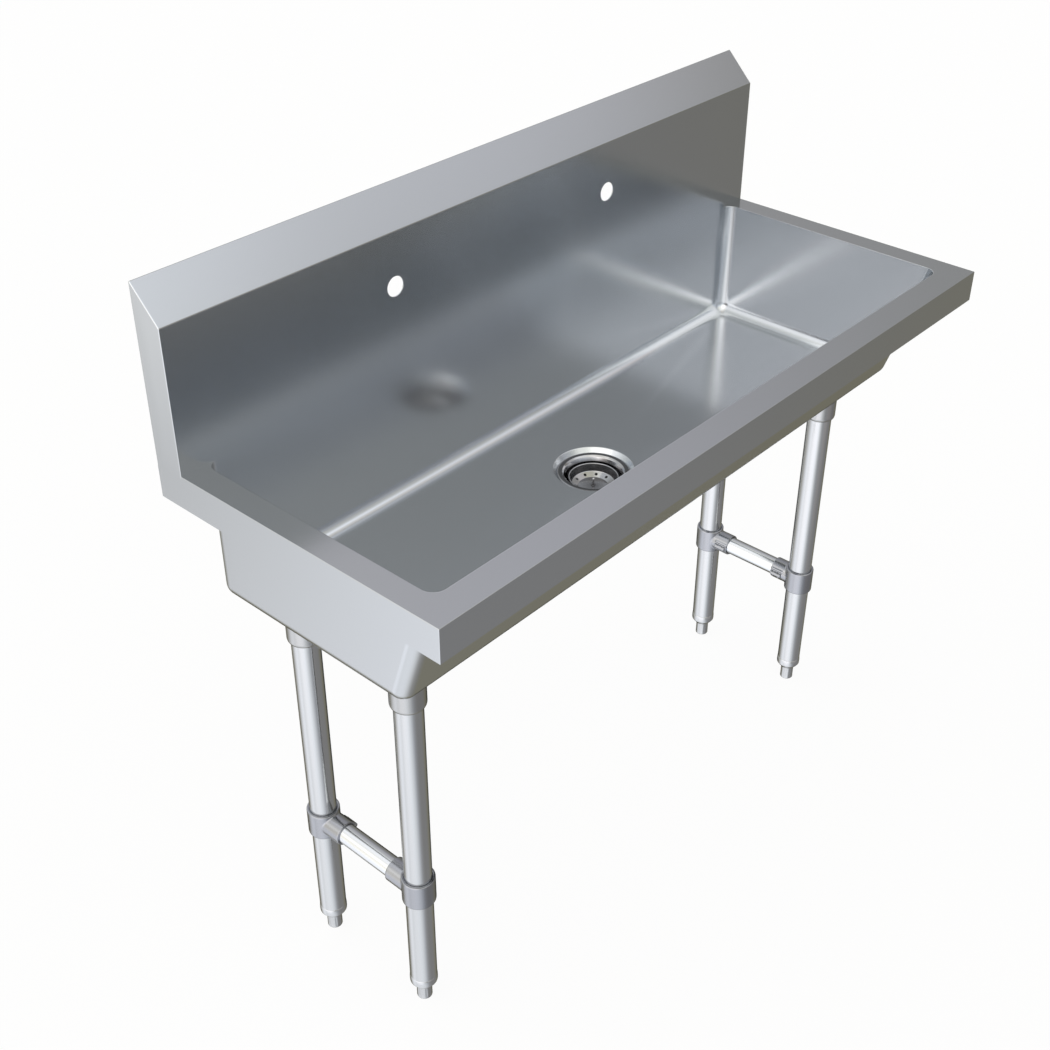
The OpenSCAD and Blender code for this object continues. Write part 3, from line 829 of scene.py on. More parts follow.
@dataclass
class RimDeck:
    """The rim round the bowl with its turned-down apron, and the weld flange behind the bowl.

    One section is carried round the left end, the front and the right end. Each column of the
    section starts at a point of the bowl's outline, runs level to an edge of the deck, over a
    small round whose middle is the edge's own, and down the apron, then back inside the sheet.
    """

    x_end: float = 0.6095
    front: float = -0.251
    wall: float = 0.251
    rim: float = 0.876
    apron: float = 0.05
    sheet: float = 0.0016
    edge: float = 0.0009
    seat: float = 0.0026
    splash: float = 0.2026
    flange: float = 0.2142
    # columns before and after the turn of a front corner
    run_in: int = 6

    def _corner(self, line: np.ndarray, side: float) -> tuple[np.ndarray, np.ndarray]:
        """Middle of the edge's round and outward direction in each column of a front corner.

        The middle runs from square across the first point to the corner, the direction turns
        a quarter there, and the middle runs on to square across the last point.

        Args:
            line: outline of the bowl round the corner, counterclockwise.
            side: -1 for the left corner, 1 for the right.

        Returns:
            Arrays (n, 2) of middles and directions.
        """
        corner = np.array((side * (self.x_end - self.edge), self.front + self.edge))
        at_end, at_front = np.array((side, 0.0)), np.array((0.0, -1.0))
        if side < 0.0:
            start, stop = (corner[0], line[0, 1]), (line[-1, 0], corner[1])
            first, last = at_end, at_front
        else:
            start, stop = (line[0, 0], corner[1]), (corner[0], line[-1, 1])
            first, last = at_front, at_end
        k, last_k = np.arange(len(line))[:, None], len(line) - 1
        run, back = ramp(k, 0, self.run_in), ramp(k, last_k - self.run_in, last_k)
        turn = ramp(k, self.run_in, last_k - self.run_in) * math.pi / 2
        middles = start + (corner - start) * run + (stop - corner) * back
        return middles, np.cos(turn) * first + np.sin(turn) * last

    def _section(
        self, line: np.ndarray, middles: np.ndarray, ways: np.ndarray, seat: bool
    ) -> np.ndarray:
        """The closed section in some columns: over the edge, down the apron and back inside.

        Args:
            line: outline points of the columns.
            middles: middle of the edge's round in each column.
            ways: outward direction of each column.
            seat: a square seat for the end plate takes the place of the round.

        Returns:
            Array (columns, rows, 3).
        """
        r, t, top, low = self.edge, self.sheet, self.rim, self.rim - self.apron
        turn = np.linspace(0.0, math.pi / 2, 5)
        out, height = r * np.sin(turn), top - r * (1.0 - np.cos(turn))
        if seat:
            out = np.array([r - t, r - t, r - t, r, r])
            height = top - self.seat * np.array([0, 0, 1, 1, 1])
        under = top - t - (self.seat if seat else 0.0)
        out = np.append(out, [r, r - 0.0003, r - t + 0.0003, r - t, r - t])
        height = np.append(height, [low + 0.0003, low, low, low + 0.0003, under])
        rows = middles[:, None] + out[None, :, None] * ways[:, None]
        flat = np.concatenate([line[:, None], rows, line[:, None]], axis=1)
        level = np.broadcast_to([top, *height, top - t], flat.shape[:2])
        return np.concatenate([flat, level[..., None]], axis=2)

    def _rear(self, side: float, x_in: float, places: tuple[float, ...], seat: bool) -> np.ndarray:
        """Columns of the straight rear of an end.

        Args:
            side: -1 for the left end, 1 for the right.
            x_in: how far from the middle the deck's inner edge lies.
            places: Y of each column.
            seat: with the end plate's seat.

        Returns:
            Array (columns, rows, 3).
        """
        line = np.array([(side * x_in, y) for y in places])
        middles = np.array([(side * (self.x_end - self.edge), y) for y in places])
        return self._section(line, middles, np.tile((side, 0.0), (len(places), 1)), seat)

    def build(self, finishes: Finishes, bowl: TroughBowl) -> None:
        """Builds the deck and its weld flange, which stand for the node.

        Args:
            finishes: the finishes of the sink.
            bowl: the bowl in the deck.
        """
        x_in = bowl.half_length + bowl.radius + bowl.sheet
        left, right = bowl.rim_corner(-1.0, False), bowl.rim_corner(1.0, False)
        grid = np.concatenate(
            [
                self._rear(-1.0, x_in, (self.wall, self.splash), True),
                self._rear(-1.0, x_in, (self.splash,), False),
                self._section(left, *self._corner(left, -1.0), False),
                self._section(right, *self._corner(right, 1.0), False),
                self._rear(1.0, x_in, (self.splash,), False),
                self._rear(1.0, x_in, (self.splash, self.wall), True),
            ]
        )
        shell = Shell()
        shell.grid(grid, False, True)
        half = grid.shape[1] // 2
        for end in (grid[0], grid[-1]):
            shell.grid(np.stack([end[:half], end[::-1][:half]], axis=1))
        piece = shell.build("deck_sheet", "sink", finishes.of(finishes.sheet))
        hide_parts("deck")
        self._flange(finishes, bowl, x_in - 0.00002)

    def _flange(self, finishes: Finishes, bowl: TroughBowl, x: float) -> None:
        """Builds the flat strip behind the bowl, between the end strips of the deck.

        Args:
            finishes: the finishes of the sink.
            bowl: the bowl in the deck.
            x: how far from the middle the strip ends.
        """
        line = np.concatenate([bowl.rim_corner(1.0, True), bowl.rim_corner(-1.0, True)])
        line[:, 0] = np.clip(line[:, 0], -x, x)
        n = bowl.corner_steps
        up = np.linspace(line[0, 1], self.flange, n)
        outer = np.column_stack([np.repeat([x, -x], n), np.concatenate([up, up[::-1]])])
        rows = [(line, self.rim), (outer, self.rim), (outer, self.rim - self.sheet)]
        rows.append((line, self.rim - self.sheet))
        layers = [np.column_stack([flat, np.full(len(flat), z)]) for flat, z in rows]
        grid = np.stack(layers, axis=1)
        shell = Shell()
        shell.grid(grid, False, True)
        piece = shell.build("deck_weld_flange", "sink", finishes.of(finishes.sheet))
        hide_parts("deck")


@dataclass
class Backsplash:
    """The bent backsplash sheet with its two faucet holes, and the plates that end it."""

    half_length: float = 0.6095
    face_y: float = 0.2026
    wall_y: float = 0.251
    low: float = 0.876
    bend: float = 1.083
    top: float = 1.1314
    lip: float = 0.0174
    sheet: float = 0.0016
    bend_round: float = 0.0024
    top_round: float = 0.001
    end_round: float = 0.0008
    foot: float = 0.0026
    faucet_x: float = 0.2286
    faucet_z: float = 1.003
    faucet_r: float = 0.015
    cell_half: float = 0.045
    cell_parts: int = 12
    # how far an end plate's two upper corners come down for each metre of inset
    bend_drop: float = 0.41
    top_drop: float = 2.37
    # heights between which the end plates turn from plain to painted light, brighter above
    end_painted_light: tuple[float, float] = (0.88, 0.98)

    def _profile(self) -> np.ndarray:
        """The Y-Z outline of the bent sheet, its face divided for the cells of the holes.

        Returns:
            Array (n, 2); the face comes first, from the bottom up, then the way round.
        """
        slope = math.atan2(self.top - self.bend, self.wall_y - self.face_y)
        thick = self.sheet / math.cos(slope)
        drop = self.sheet * (1.0 - math.sin(slope)) / math.cos(slope)
        under = self.top - self.sheet * math.tan(slope) - thick
        inner = self.wall_y - self.sheet
        outside = [
            (self.face_y, self.low, 0.0),
            (self.face_y, self.bend, self.bend_round),
            (self.wall_y, self.top, self.top_round),
            (self.wall_y, self.top - self.lip, 0.0003),
            (inner, self.top - self.lip, 0.0003),
            (inner, under, 0.0002),
            (self.face_y + self.sheet, self.bend - drop, self.bend_round - self.sheet),
            (self.face_y + self.sheet, self.low, 0.0),
        ]
        line = rounded(outside, 6)
        levels = np.array([self.low, *self._levels()])
        front = np.column_stack([np.full(len(levels), self.face_y), levels])
        back = np.column_stack([np.full(len(levels), self.face_y + self.sheet), levels[::-1]])
        return np.concatenate([front, line[1:-1], back])

    def _levels(self) -> np.ndarray:
        """Heights of the rows through the cell of a hole.

        Returns:
            Array (cell_parts + 1).
        """
        z = self.faucet_z
        return np.linspace(z - self.cell_half, z + self.cell_half, self.cell_parts + 1)

    def _stations(self) -> np.ndarray:
        """X of the columns, with the columns of both cells.

        Returns:
            Array of the places along the sheet, from left to right.
        """
        half, n = self.cell_half, self.cell_parts
        left = np.linspace(-self.faucet_x - half, -self.faucet_x + half, n + 1)
        end = self.half_length - self.sheet
        return np.array([-end, *left, *(-left[::-1]), end])

    def _cell(self, shell: Shell, x: float) -> None:
        """Fills a square cell round a hole: rows from the square in to the circle and through.

        Args:
            shell: where the cell goes.
            x: middle of the hole.
        """
        square = self.cell_half * square_points(self.cell_parts)
        circle = square / np.linalg.norm(square, axis=1, keepdims=True)
        edge = 0.0003
        share = np.array([0.0, 0.45, 0.8, 1.0])[None, :, None]
        ring = self.faucet_r + edge
        flat = square[:, None] * (1.0 - share) + circle[:, None] * ring * share
        middle, back = self.face_y, self.face_y + self.sheet
        bore = circle[:, None] * self.faucet_r
        rows = np.concatenate([flat, bore, bore, flat[:, ::-1]], axis=1)
        depth = np.array([middle] * 4 + [middle + edge, back - edge] + [back] * 4)
        y = np.broadcast_to(depth, rows.shape[:2])
        shell.grid(np.stack([rows[..., 0] + x, y, rows[..., 1] + self.faucet_z], axis=-1), True)

    def build(self, finishes: Finishes) -> None:
        """Builds the sheet and both end plates.

        The sheet is its outline carried along X; both holes' cells are left out of that grid
        and filled by cells of their own.

        Args:
            finishes: the finishes of the sink.
        """
        profile, stations = self._profile(), self._stations()
        shell = Shell()
        layers = np.broadcast_arrays(stations[:, None], profile[:, 0], profile[:, 1])
        sheet = np.stack(layers, axis=-1)
        n = self.cell_parts
        skip = np.zeros((len(stations) - 1, len(profile)), bool)
        for first in (1, n + 2):
            skip[first : first + n, 1 : n + 1] = True
            skip[first : first + n, len(profile) - n - 2 : len(profile) - 2] = True
        shell.grid(sheet, False, True, skip)
        for x in (-self.faucet_x, self.faucet_x):
            self._cell(shell, x)
        self._close(shell, profile)
        piece = shell.build("backsplash_sheet", "sink", finishes.of(finishes.sheet))
        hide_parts("backsplash")
        for side, name in ((-1.0, "left"), (1.0, "right")):
            plate = self._end(side).build(f"end_plate_{name}", "sink", finishes.of(finishes.sheet))
            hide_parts(f"end_cap_{name}")

    def _close(self, shell: Shell, profile: np.ndarray) -> None:
        """Closes both ends of the strip: its outer line is joined to its inner line.

        Args:
            shell: the strip's shell.
            profile: its outline.
        """
        half = len(profile) // 2
        pair = np.stack([profile[:half], profile[::-1][:half]], axis=1)
        for side in (-1.0, 1.0):
            x = np.full(pair.shape[:2], side * (self.half_length - self.sheet))
            shell.grid(np.stack([x, pair[..., 0], pair[..., 1]], axis=-1))

    def _end(self, side: float) -> Shell:
        """An end plate: its outline carried in rows from the inner face round to the outer.

        Args:
            side: -1 for the left end, 1 for the right.

        Returns:
            The plate's shell.
        """
        inner, outer = self.half_length - self.sheet, self.half_length
        rows = [(0.0, inner)]
        rows += [
            (self.end_round * (1.0 - math.cos(a)), outer - self.end_round * (1.0 - math.sin(a)))
            for a in np.linspace(0.0, math.pi / 2, 5)
        ]
        lines = []
        for inset, x in rows:
            outline = rounded(
                [
                    (self.face_y + inset, self.low - self.foot, 0.0),
                    (self.face_y + inset, self.bend - self.bend_drop * inset, self.bend_round),
                    (self.wall_y - inset, self.top - self.top_drop * inset, self.top_round),
                    (self.wall_y - inset, self.low - self.foot, 0.0),
                ],
                6,
                True,
            )
            lines.append(np.column_stack([np.full(len(outline), side * x), outline]))
        # both faces close on a line up their middle
        for first, row in ((True, lines[0]), (False, lines[-1])):
            middle = row.copy()
            middle[:, 1] = (self.face_y + self.wall_y) / 2.0
            middle[:, 2] = np.clip(middle[:, 2], self.low + 0.02, self.bend - 0.01)
            lines.insert(0 if first else len(lines), middle)
        grid = np.stack(lines, axis=1)
        shell = Shell()
        # painted light on the upper part of the plate
        shell.grid(grid, wrap_u=True, painted_tone=ramp(grid[..., 2], *self.end_painted_light))
        return shell


# Drain


@dataclass
class Drain:
    """The drain body with its threads, and the lift-out strainer basket."""

    y: float = 0.02873
    flange: float = 0.66765
    flange_r: float = 0.0557
    throat_r: float = 0.046
    cup_r: float = 0.0428
    cup_low: float = 0.62865
    neck_r: float = 0.045
    gasket: float = 0.6608
    outlet_r: float = 0.0239
    bore_r: float = 0.0195
    outlet_length: float = 0.024
    pitch: float = 0.0021
    basket: float = 0.65895
    basket_low: float = 0.64255
    rim_r: float = 0.0389
    slope_r: float = 0.0332
    slope_rise: float = 0.0044
    ring: tuple[float, float] = (0.0236, 0.0327)
    flat_r: float = 0.023
    holes: int = 10
    hole_r: float = 0.0023
    turn: float = math.radians(30.5)
    wall: float = 0.001
    knob_r: float = 0.0022
    knob_height: float = 0.0115

    def build(self, finishes: Finishes) -> None:
        """Builds the body, the basket and its post, which stand for their nodes.

        Args:
            finishes: the finishes of the sink.
        """
        steel = finishes.of(finishes.drain)
        for shell, name, body, node in (
            (self._body(), "drain_cup", "sink", "drain_body"),
            (self._basket(), "basket", "strainer", "strainer_basket"),
            (self._post(), "basket_post", "strainer", "strainer_post"),
        ):
            piece = shell.build(name, body, steel)
            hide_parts(node)

    def _threaded(self, radius: float, high: float, low: float) -> np.ndarray:
        """A screw thread: the radius falls with the distance from the nearest crest.

        The crest climbs one pitch in each turn, so the distance is that of height over pitch
        less the share of the turn, to the nearest whole number. It fades at both ends.

        Args:
            radius: crest radius.
            high: top of the thread.
            low: foot of the thread.

        Returns:
            Array (angles, rows, 3), centred on the axis.
        """
        rows = max(12, round((high - low) / self.pitch * 8))
        z = np.linspace(high, low, rows)[None, :]
        angle = circle_angles(96)[:, None]
        phase = z / self.pitch - angle / (2.0 * math.pi)
        depth = np.abs(phase - np.round(phase)) * THREAD_FALL
        fade = np.clip(np.minimum(high - z, z - low) / self.pitch, 0.0, 1.0)
        return polar(angle, radius - depth * fade, z)

    def _body(self) -> Shell:
        """Flange, throat, cup and outlet, with threads outside neck and outlet.

        Each part is a profile turned round the drain's axis, or a thread of _threaded.

        Returns:
            The body's shell.
        """
        f, low = self.flange, self.cup_low
        inside = rounded(
            [
                (self.flange_r, f - 0.0022, 0.0),
                (self.flange_r - 0.0001, f - 0.0006, 0.0008),
                (self.flange_r - 0.0026, f, 0.003),
                (self.throat_r + 0.0022, f - 0.0002, 0.001),
                (self.throat_r - 0.0004, f - 0.0026, 0.0034),
                (self.cup_r, f - 0.0082, 0.0016),
                (self.cup_r, low + 0.0052, 0.0036),
                (self.cup_r - 0.007, low + 0.0024, 0.002),
                (self.bore_r, low + 0.0024, 0.0008),
                (self.bore_r, low - self.outlet_length, 0.0002),
                (self.outlet_r - 0.0006, low - self.outlet_length, 0.0004),
                (self.outlet_r, low - self.outlet_length + 0.0006, 0.0),
            ]
        )
        shell = Shell()
        place = (0.0, self.y, 0.0)
        # painted shade and dark reflection, with a rougher finish: the flat of the flange, and the
        # cup below its throat
        flat = (inside[:, 1] > f - 0.0003) & (inside[:, 0] > self.throat_r + 0.001)
        shell.turned(inside, place, painted_tone=flat | (inside[:, 1] < f - 0.0078))
        thread = self._threaded(self.outlet_r, low - 0.001, low - self.outlet_length + 0.0006)
        shell.grid(thread + place, wrap_u=True)
        shoulder = rounded(
            [
                (self.outlet_r, low - 0.001, 0.0),
                (self.outlet_r, low, 0.0006),
                (self.neck_r - 0.0045, low, 0.004),
                (self.neck_r, low + 0.0055, 0.004),
                (self.neck_r, low + 0.009, 0.0),
            ]
        )
        shell.turned(shoulder, place)
        neck = self._threaded(self.neck_r, self.gasket - 0.0045, low + 0.009)
        shell.grid(neck + place, wrap_u=True)
        under = np.array(
            [
                (self.neck_r, self.gasket - 0.0045),
                (self.neck_r, self.gasket),
                (self.throat_r + 0.0022, f - 0.0028),
                (self.throat_r + 0.0022, f - 0.0022),
                (self.flange_r, f - 0.0022),
            ]
        )
        shell.turned(under, place)
        return shell

    def _level(self, radius: np.ndarray) -> np.ndarray:
        """Height of the basket's inner face: it rises evenly across the sloping ring.

        Args:
            radius: distances from the axis.

        Returns:
            Array of heights.
        """
        return self.basket_low + self.slope_rise * ramp(radius, self.flat_r, self.slope_r)

    def _basket(self) -> Shell:
        """Pressed basket: rolled rim, wall, sloping ring with its holes and flat middle.

        Rim, wall and middle are turned profiles; the ring is filled by one sector a hole.

        Returns:
            The basket's shell.
        """
        shell = Shell()
        place = (0.0, self.y, 0.0)
        wall, rim = self.wall, self.basket
        low = self.basket_low + self.slope_rise
        ring = np.array(self.ring)
        level = self._level(ring)
        outer = rounded(
            [
                (ring[1], level[1], 0.0),
                (self.slope_r, low, 0.0012),
                (self.rim_r - 0.0022, rim - 0.0002, 0.0012),
                (self.rim_r - 0.0004, rim, 0.0007),
                (self.rim_r, rim - 0.0009, 0.0004),
                (self.rim_r - 0.0016, rim - 0.0012, 0.0004),
                (self.slope_r + 0.0009, low - wall, 0.0018),
                (ring[1], level[1] - wall, 0.0),
            ]
        )
        # painted shade, with a rougher finish: the wall between slope and rim, and the flat middle
        wall_part = (outer[:, 1] > low + 0.0003) & (outer[:, 1] < rim - 0.0006)
        shell.turned(outer, place, 120, painted_tone=wall_part)
        middle = rounded(
            [
                (0.0, self.basket_low, 0.0),
                (self.flat_r, self.basket_low, 0.001),
                (ring[0], level[0], 0.0),
            ]
        )
        shell.turned(middle, place, 120, painted_tone=0.8 * (middle[:, 0] < self.flat_r - 0.0004))
        shell.turned(middle - (0.0, wall), place, 120)
        for k in range(self.holes):
            self._sector(shell, k, ring)
        return shell

    def _sector(self, shell: Shell, number: int, ring: np.ndarray) -> None:
        """One sector of the ring with its hole: rows from its border in to the hole's edge.

        Args:
            shell: where the sector goes.
            number: which of the holes.
            ring: inner and outer radius of the ring.
        """
        half = math.pi / self.holes
        centre = self.turn + 2.0 * half * number
        across, along = square_points(12).T
        mean, spread = ring.mean(), (ring[1] - ring[0]) / 2.0
        radius, angle = mean + spread * along, centre + half * across
        border = np.stack([np.cos(angle) * radius, np.sin(angle) * radius], axis=-1)
        hub = (self.slope_r + self.flat_r) / 2.0 * np.array([math.cos(centre), math.sin(centre)])
        arm = border - hub
        circle = hub + arm / np.linalg.norm(arm, axis=1, keepdims=True) * self.hole_r
        share = np.array([0.0, 0.5, 0.85, 1.0])[None, :, None]
        flat = border[:, None] * (1.0 - share) + circle[:, None] * share
        rows = np.concatenate([flat, flat[:, ::-1]], axis=1)
        level = self._level(np.linalg.norm(rows, axis=2))
        level[:, 4:] -= self.wall
        places = np.concatenate([rows, level[..., None]], axis=2) + (0.0, self.y, 0.0)
        shell.grid(places, wrap_u=True)

    def _post(self) -> Shell:
        """Post with a collar on the basket and a ball knob on top, a turned profile.

        Returns:
            The post's shell.
        """
        low, knob = self.basket_low, self.basket_low + self.knob_height
        turn = np.linspace(-0.85, math.pi / 2, 14)
        ball = np.column_stack([np.cos(turn), np.sin(turn)]) * self.knob_r + (0.0, knob)
        stem = rounded(
            [
                (0.0, low - 0.0075, 0.0),
                (0.002, low - 0.0075, 0.0003),
                (0.002, low + 0.00005, 0.0),
                (0.0034, low + 0.00005, 0.0002),
                (0.0034, low + 0.001, 0.0005),
                (0.0016, low + 0.001, 0.0004),
                (0.0014, knob - 0.0018, 0.0),
            ]
        )
        shell = Shell()
        ball[-1, 0] = 0.0
        # painted shade, with a rougher finish: everything under the ball
        painted_shade = np.arange(len(stem) + len(ball)) < len(stem) - 1
        shell.turned(np.concatenate([stem, ball]), (0.0, self.y, 0.0), 48, painted_tone=painted_shade)
        return shell


# Stand


@dataclass(frozen=True)
class Corner:
    """One leg's place: its name and the axis of the leg."""

    name: str
    x: float
    y: float


@dataclass
class Stand:
    """Legs, sockets, cross tubes and screw feet."""

    leg_x: float = 0.4967
    front_y: float = -0.0704
    rear_y: float = 0.1328
    leg_r: float = 0.02065
    leg_wall: float = 0.0016
    leg_low: float = 0.051
    leg_top: float = 0.6634
    plate_z: float = 0.6684
    plate_half: float = 0.042
    plate_bead: float = 0.0013
    socket_r: float = 0.0255
    socket_bead: float = 0.0016
    bar_r: float = 0.0159
    bar_z: float = 0.238
    bar_half: float = 0.07495
    # the bar has painted light on this side and painted shade away from it; the cosine from it
    # where it is plain, and where the painted shade is full
    bar_bright: float = math.radians(143.0)
    bar_painted_shade: tuple[float, float] = (0.75, 0.35)
    body_r: float = 0.0212
    body_low: float = 0.028
    foot_r: float = 0.0118
    foot_top: float = 0.0277
    flutes: int = 12
    flute_depth: float = 0.0003
    stem_r: float = 0.0092
    stem_length: float = 0.034
    stem_pitch: float = 0.0018

    def corners(self) -> tuple[Corner, ...]:
        """The places of the four legs.

        Returns:
            Their names and axes.
        """
        places = (
            ("front_left", -1.0, self.front_y),
            ("rear_left", -1.0, self.rear_y),
            ("front_right", 1.0, self.front_y),
            ("rear_right", 1.0, self.rear_y),
        )
        return tuple(Corner(name, side * self.leg_x, y) for name, side, y in places)

    def build(self, finishes: Finishes) -> None:
        """Builds the pieces of the four legs and both cross tubes.

        Args:
            finishes: the finishes of the sink.
        """
        for corner in self.corners():
            self._leg(corner, finishes)
            self._foot_body(corner, finishes)
            self._foot(corner, finishes)
        for side, name in ((-1.0, "left"), (1.0, "right")):
            self._cross_tube(side, name, finishes)
        self._welds(finishes)

    def _tube(self, radius: float, low: float, high: float, ease: float = 0.0005) -> np.ndarray:
        """Closed profile of a tube with eased ends, inside and outside.

        Args:
            radius: outside radius.
            low: one end.
            high: the other end.
            ease: radius of the edges.

        Returns:
            Array (n, 2) of radius and height.
        """
        inner = radius - self.leg_wall
        corners = [
            (inner, low, ease),
            (radius, low, ease),
            (radius, high, ease),
            (inner, high, ease),
        ]
        return rounded(corners, 4, True)

    def _leg(self, corner: Corner, finishes: Finishes) -> None:
        """Builds the tube of one leg, a closed profile turned round the leg's axis.

        Args:
            corner: the leg's place.
            finishes: the finishes of the sink.
        """
        shell = Shell()
        profile = self._tube(self.leg_r, self.leg_low, self.leg_top)
        shell.turned(profile, (corner.x, corner.y, 0.0), 96, True)
        piece = shell.build(f"leg_tube_{corner.name}", "sink", finishes.of(finishes.tube))
        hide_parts(f"leg_{corner.name}")

    def _cross_tube(self, side: float, name: str, finishes: Finishes) -> None:
        """Builds a cross tube: an upright tube laid over, its height turned into Y.

        Args:
            side: -1 for the left stand, 1 for the right.
            name: the side in words.
            finishes: the finishes of the sink.
        """
        shell = Shell()
        profile = self._tube(self.bar_r, -self.bar_half, self.bar_half)
        angle = circle_angles(96)[:, None]
        upright = polar(angle, profile[None, :, 0], profile[None, :, 1])
        middle = (side * self.leg_x, (self.front_y + self.rear_y) / 2.0, self.bar_z)
        # painted shade away from the bright side, which keeps the light painted colour
        painted_shade = ramp(np.cos(angle - self.bar_bright), *self.bar_painted_shade)
        shell.grid(upright[..., [0, 2, 1]] + middle, True, True, painted_tone=painted_shade)
        piece = shell.build(f"cross_bar_{name}", "sink", finishes.of(finishes.cross))
        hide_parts(f"cross_tube_{name}")

    def _foot_body(self, corner: Corner, finishes: Finishes) -> None:
        """Builds a foot body: swelled collar, drawn-in nose, and the shank in the tube.

        Args:
            corner: the leg's place.
            finishes: the finishes of the sink.
        """
        r, low, top = self.body_r, self.body_low, self.leg_low
        shank = self.leg_r - self.leg_wall - 0.00005
        profile = rounded(
            [
                (0.0095, low, 0.0003),
                (0.0139, low, 0.0006),
                (0.0148, low + 0.0016, 0.002),
                (r - 0.0024, top - 0.0168, 0.002),
                (r - 0.0002, top - 0.0135, 0.002),
                (r, top - 0.0105, 0.006),
                (r, top - 0.0055, 0.006),
                (r - 0.0003, top - 0.0018, 0.002),
                (self.leg_r - 0.0002, top - 0.00005, 0.0005),
                (shank, top - 0.00005, 0.0),
                (shank, top + 0.024, 0.0006),
                (0.0095, top + 0.024, 0.0003),
            ],
            5,
            True,
        )
        shell = Shell()
        shell.turned(profile, (corner.x, corner.y, 0.0), 96, True)
        piece = shell.build(f"foot_collar_{corner.name}", "sink", finishes.of(finishes.tube))
        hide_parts(f"foot_body_{corner.name}")

    def _foot(self, corner: Corner, finishes: Finishes) -> None:
        """Builds a screw foot: a fluted foot under a threaded stem.

        Round the foot, the radius loses the depth of a flute where the angle is near one of
        the flutes' even places. Along the stem, it loses the distance to the nearest crest of a
        thread that climbs one pitch a turn.

        Args:
            corner: the leg's place.
            finishes: the finishes of the sink.
        """
        angle = circle_angles(144)[:, None]
        r, top = self.foot_r, self.foot_top
        line = rounded(
            [
                (0.0, 0.0, 0.0),
                (r, 0.0, 0.0015),
                (r, 0.003, 0.0),
                (r, top - 0.003, 0.0),
                (r, top, 0.001),
                (self.stem_r, top, 0.0),
            ]
        )
        levels = np.linspace(0.0035, top - 0.0035, 9)
        split = int(np.searchsorted(line[:, 1], 0.0034))
        straight = np.column_stack([np.full(len(levels), r), levels])
        line = np.concatenate([line[:split], straight, line[split:]])
        line = line[np.abs(line[:, 1] - 0.003) > 1e-6]
        z = line[None, :, 1]
        wave = (np.cos(self.flutes * angle) * 0.5 + 0.5) ** 2
        reach = ramp(np.minimum(z, top - z), 0.0028, 0.0048)
        body = polar(angle, line[None, :, 0] - self.flute_depth * wave * reach, z)
        rows = round(self.stem_length / self.stem_pitch * 8)
        stem_z = np.linspace(top, top + self.stem_length - 0.0006, rows)[None, :]
        phase = stem_z / self.stem_pitch - angle / (2.0 * math.pi)
        fade = np.clip((stem_z - top) / self.stem_pitch, 0.0, 1.0)
        depth = THREAD_FALL * np.abs(phase - np.round(phase)) * fade
        thread = polar(angle, self.stem_r - depth, stem_z)
        tip = np.array([[self.stem_r - 0.0008, 0.0]])
        end = polar(angle, tip, np.full((1, 2), top + self.stem_length))
        shell = Shell()
        foot = np.concatenate([body, thread[:, 1:], end], axis=1)
        shell.grid(foot + (corner.x, corner.y, 0.0), True)
        body_name = f"screw_foot_{corner.name}"
        piece = shell.build(f"foot_screw_{corner.name}", body_name, finishes.of(finishes.turned))
        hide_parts(f"foot_{corner.name}")

    def _welds(self, finishes: Finishes) -> None:
        """Lays the beads round the sockets and round the plates.

        Args:
            finishes: the finishes of the sink.
        """
        turn = circle_angles(144)
        for corner in self.corners():
            shell = Shell()
            ring = polar(turn, self.socket_r + 0.0004, self.plate_z - 0.0004)
            shell.bead(ring + (corner.x, corner.y, 0.0), self.socket_bead)
            edge = self.plate_half * square_points(64)
            path = np.column_stack([edge, np.full(len(edge), self.plate_z + 0.0028)])
            shell.bead(path + (corner.x, corner.y, 0.0), self.plate_bead)
            piece = shell.build(f"weld_{corner.name}", "sink", finishes.of(finishes.weld))


# Dressing of the carried-over nodes


@dataclass
class NodeDresser:
    """Gives a carried-over node its material, small rounded edges and even normals."""

    finishes: Finishes
    edge: float = 0.00025

    def dress(self, name: str, finish: MetalFinish | DullFinish, edge: float | None = None) -> None:
        """Dresses one node.

        Args:
            name: the node.
            finish: what its surface is.
            edge: radius of its hard edges in metres, 0 for none.
        """
        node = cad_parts[name]
        node.data.materials.clear()
        node.data.materials.append(self.finishes.of(finish))
        node.data.shade_smooth()
        weld = node.modifiers.new("weld", "WELD")
        weld.merge_threshold = MERGE
        width = self.edge if edge is None else edge
        if width > 0.0:
            bevel = node.modifiers.new("edge", "BEVEL")
            bevel.width = width
            bevel.segments = 2
            bevel.limit_method = "ANGLE"
            bevel.angle_limit = math.radians(30.0)
        normals = node.modifiers.new("normals", "WEIGHTED_NORMAL")
        normals.weight = NORMAL_WEIGHT
        LOG.info("node %s dressed in %s", name, finish.name)

    def dress_casting(self, name: str, finish: MetalFinish, grid: float = 0.0008) -> None:
        """Dresses a cast node, whose edges and inner corners are rounded as cast metal is.

        The solid is resampled on an even grid and its surface then relaxed a little.

        Args:
            name: the node.
            finish: what its surface is.
            grid: spacing of the grid in metres.
        """
        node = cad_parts[name]
        node.data.materials.clear()
        node.data.materials.append(self.finishes.of(finish))
        weld = node.modifiers.new("weld", "WELD")
        weld.merge_threshold = MERGE
        cast = node.modifiers.new("cast", "REMESH")
        cast.mode = "VOXEL"
        cast.voxel_size = grid
        cast.use_smooth_shade = True
        relax = node.modifiers.new("relax", "SMOOTH")
        relax.factor = 0.5
        relax.iterations = 5
        LOG.info("node %s cast in %s", name, finish.name)


# Studio


@dataclass(frozen=True)
class Glow:
    """A soft round light of the surroundings, far away in one direction."""

    azimuth: float
    elevation: float
    inner: float
    outer: float
    colour: Triple

    def axis(self) -> Triple:
        """The unit vector towards its middle.

        Returns:
            X, Y and Z.
        """
        turn, rise = math.radians(self.azimuth), math.radians(self.elevation)
        flat = math.cos(rise)
        return (flat * math.cos(turn), flat * math.sin(turn), math.sin(rise))


